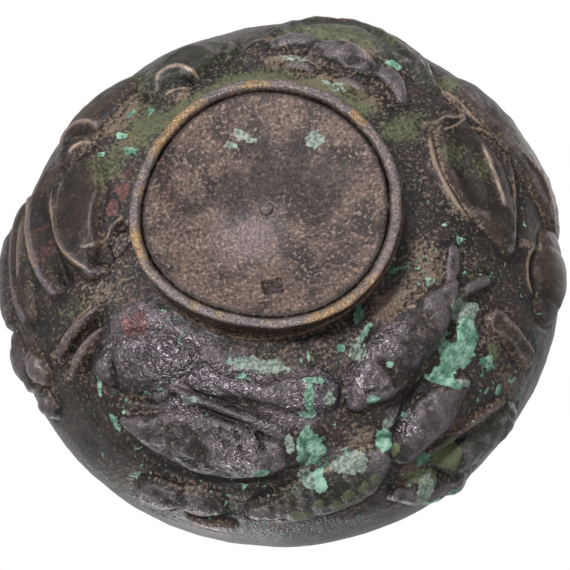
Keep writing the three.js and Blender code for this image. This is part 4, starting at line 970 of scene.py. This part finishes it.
def basePlate():
    radiusOut = footForm["outer"] - footForm["flare"] - footForm["thickness"] - 0.15
    middle = plateForm["edge"] + plateForm["hollow"]
    radius = np.linspace(0.02, radiusOut, plateForm["rows"])
    turn = np.arange(plateForm["columns"]) / plateForm["columns"] * 2 * np.pi
    radiusGrid, turnGrid = np.meshgrid(radius, turn, indexing="ij")
    x, y = (radiusGrid * np.cos(turnGrid)).ravel(), (radiusGrid * np.sin(turnGrid)).ravel()
    flat = np.column_stack([x, y, np.zeros(len(x))])
    # z = middle - hollow * (r / R)^2, then dents, pit and grain
    z = middle - plateForm["hollow"] * (radiusGrid.ravel() / radiusOut) ** 2
    z += 0.16 * fractal(flat, 9, 2, 113) + 0.075 * fractal(flat, 1.6, 2, 127)
    pit = plateForm["pit"]
    across, along = np.abs(x - pit["place"][0]) - pit["half"][0], np.abs(y - pit["place"][1]) - pit["half"][1]
    deep = fade(0.25, -0.35, np.maximum(across, along))
    rim = np.exp(-(np.maximum(across, along) / 0.55) ** 2)
    z += pit["depth"] * deep - 0.16 * rim
    # a thin flake stands up along a short crooked line
    flake = np.hypot(x + 15.5 + 0.25 * (y + 7.8), (y + 7.8) / 3.2)
    z -= 0.28 * np.exp(-(flake / 0.7) ** 2)
    seam = fade(radiusOut - 0.8, radiusOut, radiusGrid.ravel())
    z += 0.5 * seam
    wave = footWave(turnGrid.ravel(), z) * (radiusGrid.ravel() / radiusOut) ** 4
    scale = 1 + wave / radiusGrid.ravel()
    under = np.column_stack([x * scale, y * scale, z])
    top = []
    floorHeight = wallForm["seatHeight"] + wallForm["thickness"]
    topRadii = [radiusOut - 0.2, plateForm["spigot"], plateForm["spigot"]]
    topHeights = [8.9, 8.95, floorHeight - 0.4]
    share = np.linspace(0.985, 0.0007, 26)
    topRadii += list(plateForm["spigot"] * share)
    topHeights += list(floorHeight - plateForm["floorDip"] * (1 - share ** 2))
    for r, h in zip(topRadii, topHeights):
        top.append(np.column_stack([r * np.cos(turn), r * np.sin(turn), np.full(len(turn), h)]))
    top = np.vstack(top)
    inside = np.hypot(top[:, 0], top[:, 1]) < plateForm["spigot"] - 0.3
    top[:, 2] += 0.1 * fractal(top, 8, 2, 131) * inside
    points = np.vstack([under, top, [[0, 0, middle]], [[0, 0, floorHeight - plateForm["floorDip"]]]])
    rows, columns = len(radius) + len(topRadii), len(turn)
    faces = gridFaces(rows, columns, False, True).tolist()
    for j in range(columns):
        k = (j + 1) % columns
        faces += [[j, k, rows * columns], [(rows - 1) * columns + k, (rows - 1) * columns + j, rows * columns + 1]]
    empty = np.zeros(len(points))
    count = len(under)
    ragged = 0.35 * noise(flat, 3.2, 137) + 0.22 * noise(flat, 1.2, 139)

    def blob(px, py, a, b, angle, soft):
        c, s = np.cos(np.radians(angle)), np.sin(np.radians(angle))
        u, v = (x - px) * c + (y - py) * s, (y - py) * c - (x - px) * s
        return fade(1 + soft, 1 - soft, np.hypot(u / a, v / b) + ragged)

    # Darker patches across the plate are painted shade of the dished plate
    soot = np.zeros(count)
    for px, py, a, b, angle, strength in plateForm["shade_patches"]:
        soot = np.maximum(soot, strength * blob(px, py, a, b, angle, 0.55))
    green = np.zeros(count)
    for px, py, a, b, angle in plateForm["greenSpots"]:
        green = np.maximum(green, blob(px, py, a, b, angle, 0.3))
    paint = {key: empty.copy() for key in ("brass", "wear", "earth", "soot", "dust", "malachite", "pale", "olive", "cuprite")}
    # Near black in the seam by the ring and in the square pit is painted shade
    paint["soot"][:count] = np.maximum(0.8 * soot, 0.95 * fade(radiusOut - 2.2, radiusOut - 0.3, radiusGrid.ravel()))
    paint["soot"][:count] = np.maximum(paint["soot"][:count], 0.9 * deep)
    paint["pale"][:count] = green
    # Light wear over the whole face, with a painted sheen patch round (6, -6)
    paint["wear"][:count] = 0.45 * fade(16, 2, np.hypot(x - 6, y + 6)) + 0.25
    paint["earth"][:count] = np.clip(0.5 * rim + 0.3 * fade(0, 0.7, noise(flat, 7, 149)) * fade(8, 24, radiusGrid.ravel()), 0, 1)
    paint["cuprite"][:count] = 0.55 * fade(10, 26, x) * fade(0.1, 0.6, noise(flat, 5, 151) + 0.2)
    paint["earth"][count:] = 0.4
    makePiece("basePlate", points, faces, paint, materials["plate"], ["base_plate"])


basePlate()
print("base plate made")

# Plug in the plate's middle: a low round head worn bright, z = seat - height * sqrt(1 - (r / R)^2)
pipForm = {"radius": 1.95, "height": 1.25, "shank": 1.2, "columns": 48, "rows": 14}


def centrePip():
    seat = plateForm["edge"] + plateForm["hollow"] - 0.25
    turn = np.arange(pipForm["columns"]) / pipForm["columns"] * 2 * np.pi
    slope = np.linspace(0.02, np.pi / 2, pipForm["rows"])
    radius = list(pipForm["radius"] * np.sin(slope)) + [pipForm["shank"], pipForm["shank"], 0.05]
    height = list(seat - pipForm["height"] * np.cos(slope)) + [seat + 0.15, pipBox[1].z - 0.2, pipBox[1].z]
    r, t = np.meshgrid(radius, turn, indexing="ij")
    z = np.broadcast_to(np.array(height)[:, None], r.shape)
    points = np.stack([r * np.cos(t), r * np.sin(t), z], -1).reshape(-1, 3)
    points[:, 2] += 0.06 * noise(points, 1.1, 157)
    rows, columns = r.shape
    faces = gridFaces(rows, columns, False, True).tolist()
    points = np.vstack([points, [[0, 0, height[0]]], [[0, 0, height[-1]]]])
    for j in range(columns):
        k = (j + 1) % columns
        faces += [[j, k, rows * columns], [(rows - 1) * columns + k, (rows - 1) * columns + j, rows * columns + 1]]
    paint = {key: np.zeros(len(points)) for key in ("dust", "malachite", "pale", "olive", "cuprite", "soot", "brass")}
    paint["wear"] = np.full(len(points), 0.9)
    paint["earth"] = 0.6 * fade(0.9, 1.9, np.hypot(points[:, 0], points[:, 1]))
    makePiece("centrePip", points, faces, paint, materials["tan"], ["centre_pip"])


centrePip()

# Camera at the photo's angle: 25 degrees off the axis on the underside, rolled 14 degrees
photo = {"side": 570, "focal": 2862.7, "tilt": 25.43, "roll": -14.43, "distance": 800, "target": [0, 0, 45],
         "targetAt": [282.43, 272.05], "sensor": 36}


def photoCamera():
    tilt, roll = np.radians(photo["tilt"]), np.radians(photo["roll"])
    back = np.array([0, -np.sin(tilt), -np.cos(tilt)])
    upright = np.array([0, np.cos(tilt), -np.sin(tilt)])
    level = np.cross(-back, upright)
    right = level * np.cos(roll) + upright * np.sin(roll)
    up = -level * np.sin(roll) + upright * np.cos(roll)
    perPixel = photo["distance"] / photo["focal"]
    aside = (photo["side"] / 2 - photo["targetAt"][0]) * perPixel
    below = (photo["targetAt"][1] - photo["side"] / 2) * perPixel
    eye = (np.array(photo["target"]) + back * photo["distance"] + right * aside + up * below) * mm
    data = bpy.data.cameras.new("photoCamera")
    data.sensor_width = photo["sensor"]
    data.lens = photo["focal"] / photo["side"] * photo["sensor"]
    data.clip_start, data.clip_end = 0.01, 20
    camera = bpy.data.objects.new("photoCamera", data)
    camera.matrix_world = Matrix([[*row, place] for row, place in zip(np.column_stack([right, up, back]), eye)] + [[0, 0, 0, 1]])
    bpy.context.scene.collection.objects.link(camera)
    bpy.context.scene.camera = camera
    return right, up, back


right, up, back = photoCamera()
print("camera placed")

# Pale floor that the bowl stands on. From below it is clear, as the photo looks at the bowl's underside.
floorForm = {"half": 3000, "drop": 0.3, "colour": "#f4f3f1"}


def paleFloor():
    half, z = floorForm["half"] * mm, -floorForm["drop"] * mm
    mesh = bpy.data.meshes.new("paleFloor")
    mesh.from_pydata([(-half, -half, z), (half, -half, z), (half, half, z), (-half, half, z)], [], [(0, 1, 2, 3)])
    material = bpy.data.materials.new("paleFloorPaper")
    material.use_nodes = True
    tree = material.node_tree
    tree.nodes.clear()
    place = addNode(tree, "ShaderNodeTexCoord").outputs["Object"]
    fibre = addNode(tree, "ShaderNodeTexNoise", {"Scale": 400.0, "Detail": 2.0}, {"Vector": place})
    bump = addNode(tree, "ShaderNodeBump", {"Strength": 0.05, "Distance": 0.0002}, {"Height": fibre.outputs["Fac"]})
    paper = addNode(tree, "ShaderNodeBsdfDiffuse", {"Color": linear(floorForm["colour"])}, {"Normal": bump.outputs["Normal"]})
    clear = addNode(tree, "ShaderNodeBsdfTransparent")
    side = addNode(tree, "ShaderNodeNewGeometry").outputs["Backfacing"]
    mixed = addNode(tree, "ShaderNodeMixShader", {}, {0: side, 1: paper.outputs[0], 2: clear.outputs[0]})
    addNode(tree, "ShaderNodeOutputMaterial", {}, {"Surface": mixed.outputs[0]})
    mesh.materials.append(material)
    floor = bpy.data.objects.new("paleFloor", mesh)
    bpy.context.scene.collection.objects.link(floor)
    floor.visible_shadow = False
    floor.visible_diffuse = False
    floor.visible_glossy = False


paleFloor()

# Soft lamps: three below for the underside, placed by the camera's own directions, and two above
lamps = [
    {"name": "keyBelow", "way": -0.42 * right + 0.38 * up + 0.82 * back, "far": 900, "size": 130, "watts": 7.5},
    {"name": "topBelow", "way": -0.15 * right + 0.8 * up + 0.6 * back, "far": 900, "size": 160, "watts": 3.0},
    {"name": "fillBelow", "way": 0.55 * right - 0.4 * up + 0.72 * back, "far": 1000, "size": 300, "watts": 1.6},
    {"name": "keyAbove", "way": np.array([0.5, -0.5, 0.75]), "far": 1200, "size": 400, "watts": 9.0},
    {"name": "fillAbove", "way": np.array([-0.7, 0.4, 0.6]), "far": 1200, "size": 600, "watts": 3.0},
]


def softLamps():
    for lamp in lamps:
        data = bpy.data.lights.new(lamp["name"], "AREA")
        data.energy = lamp["watts"]
        data.size = lamp["size"] * mm
        holder = bpy.data.objects.new(lamp["name"], data)
        way = Vector(lamp["way"]).normalized()
        holder.location = Vector(photo["target"]) * mm + way * lamp["far"] * mm
        holder.rotation_euler = way.to_track_quat("Z", "Y").to_euler()
        bpy.context.scene.collection.objects.link(holder)


def whiteWorld():
    world = bpy.data.worlds.new("whiteStudio")
    bpy.context.scene.world = world
    world.use_nodes = True
    tree = world.node_tree
    tree.nodes.clear()
    path = addNode(tree, "ShaderNodeLightPath")
    seen = addNode(tree, "ShaderNodeMath", {"operation": "MAXIMUM"},
                   {0: path.outputs["Is Camera Ray"], 1: path.outputs["Is Glossy Ray"]})
    seen = addNode(tree, "ShaderNodeMath", {"operation": "MAXIMUM"}, {0: seen.outputs[0], 1: path.outputs["Is Transmission Ray"]})
    dim = addNode(tree, "ShaderNodeBackground", {"Color": linear("#ffffff"), "Strength": 0.16})
    white = addNode(tree, "ShaderNodeBackground", {"Color": linear("#ffffff"), "Strength": 1.0})
    mixed = addNode(tree, "ShaderNodeMixShader", {}, {0: seen.outputs[0], 1: dim.outputs[0], 2: white.outputs[0]})
    addNode(tree, "ShaderNodeOutputWorld", {}, {"Surface": mixed.outputs[0]})


softLamps()
whiteWorld()
bpy.context.scene.view_settings.view_transform = "Standard"
print("stage and lamps set")
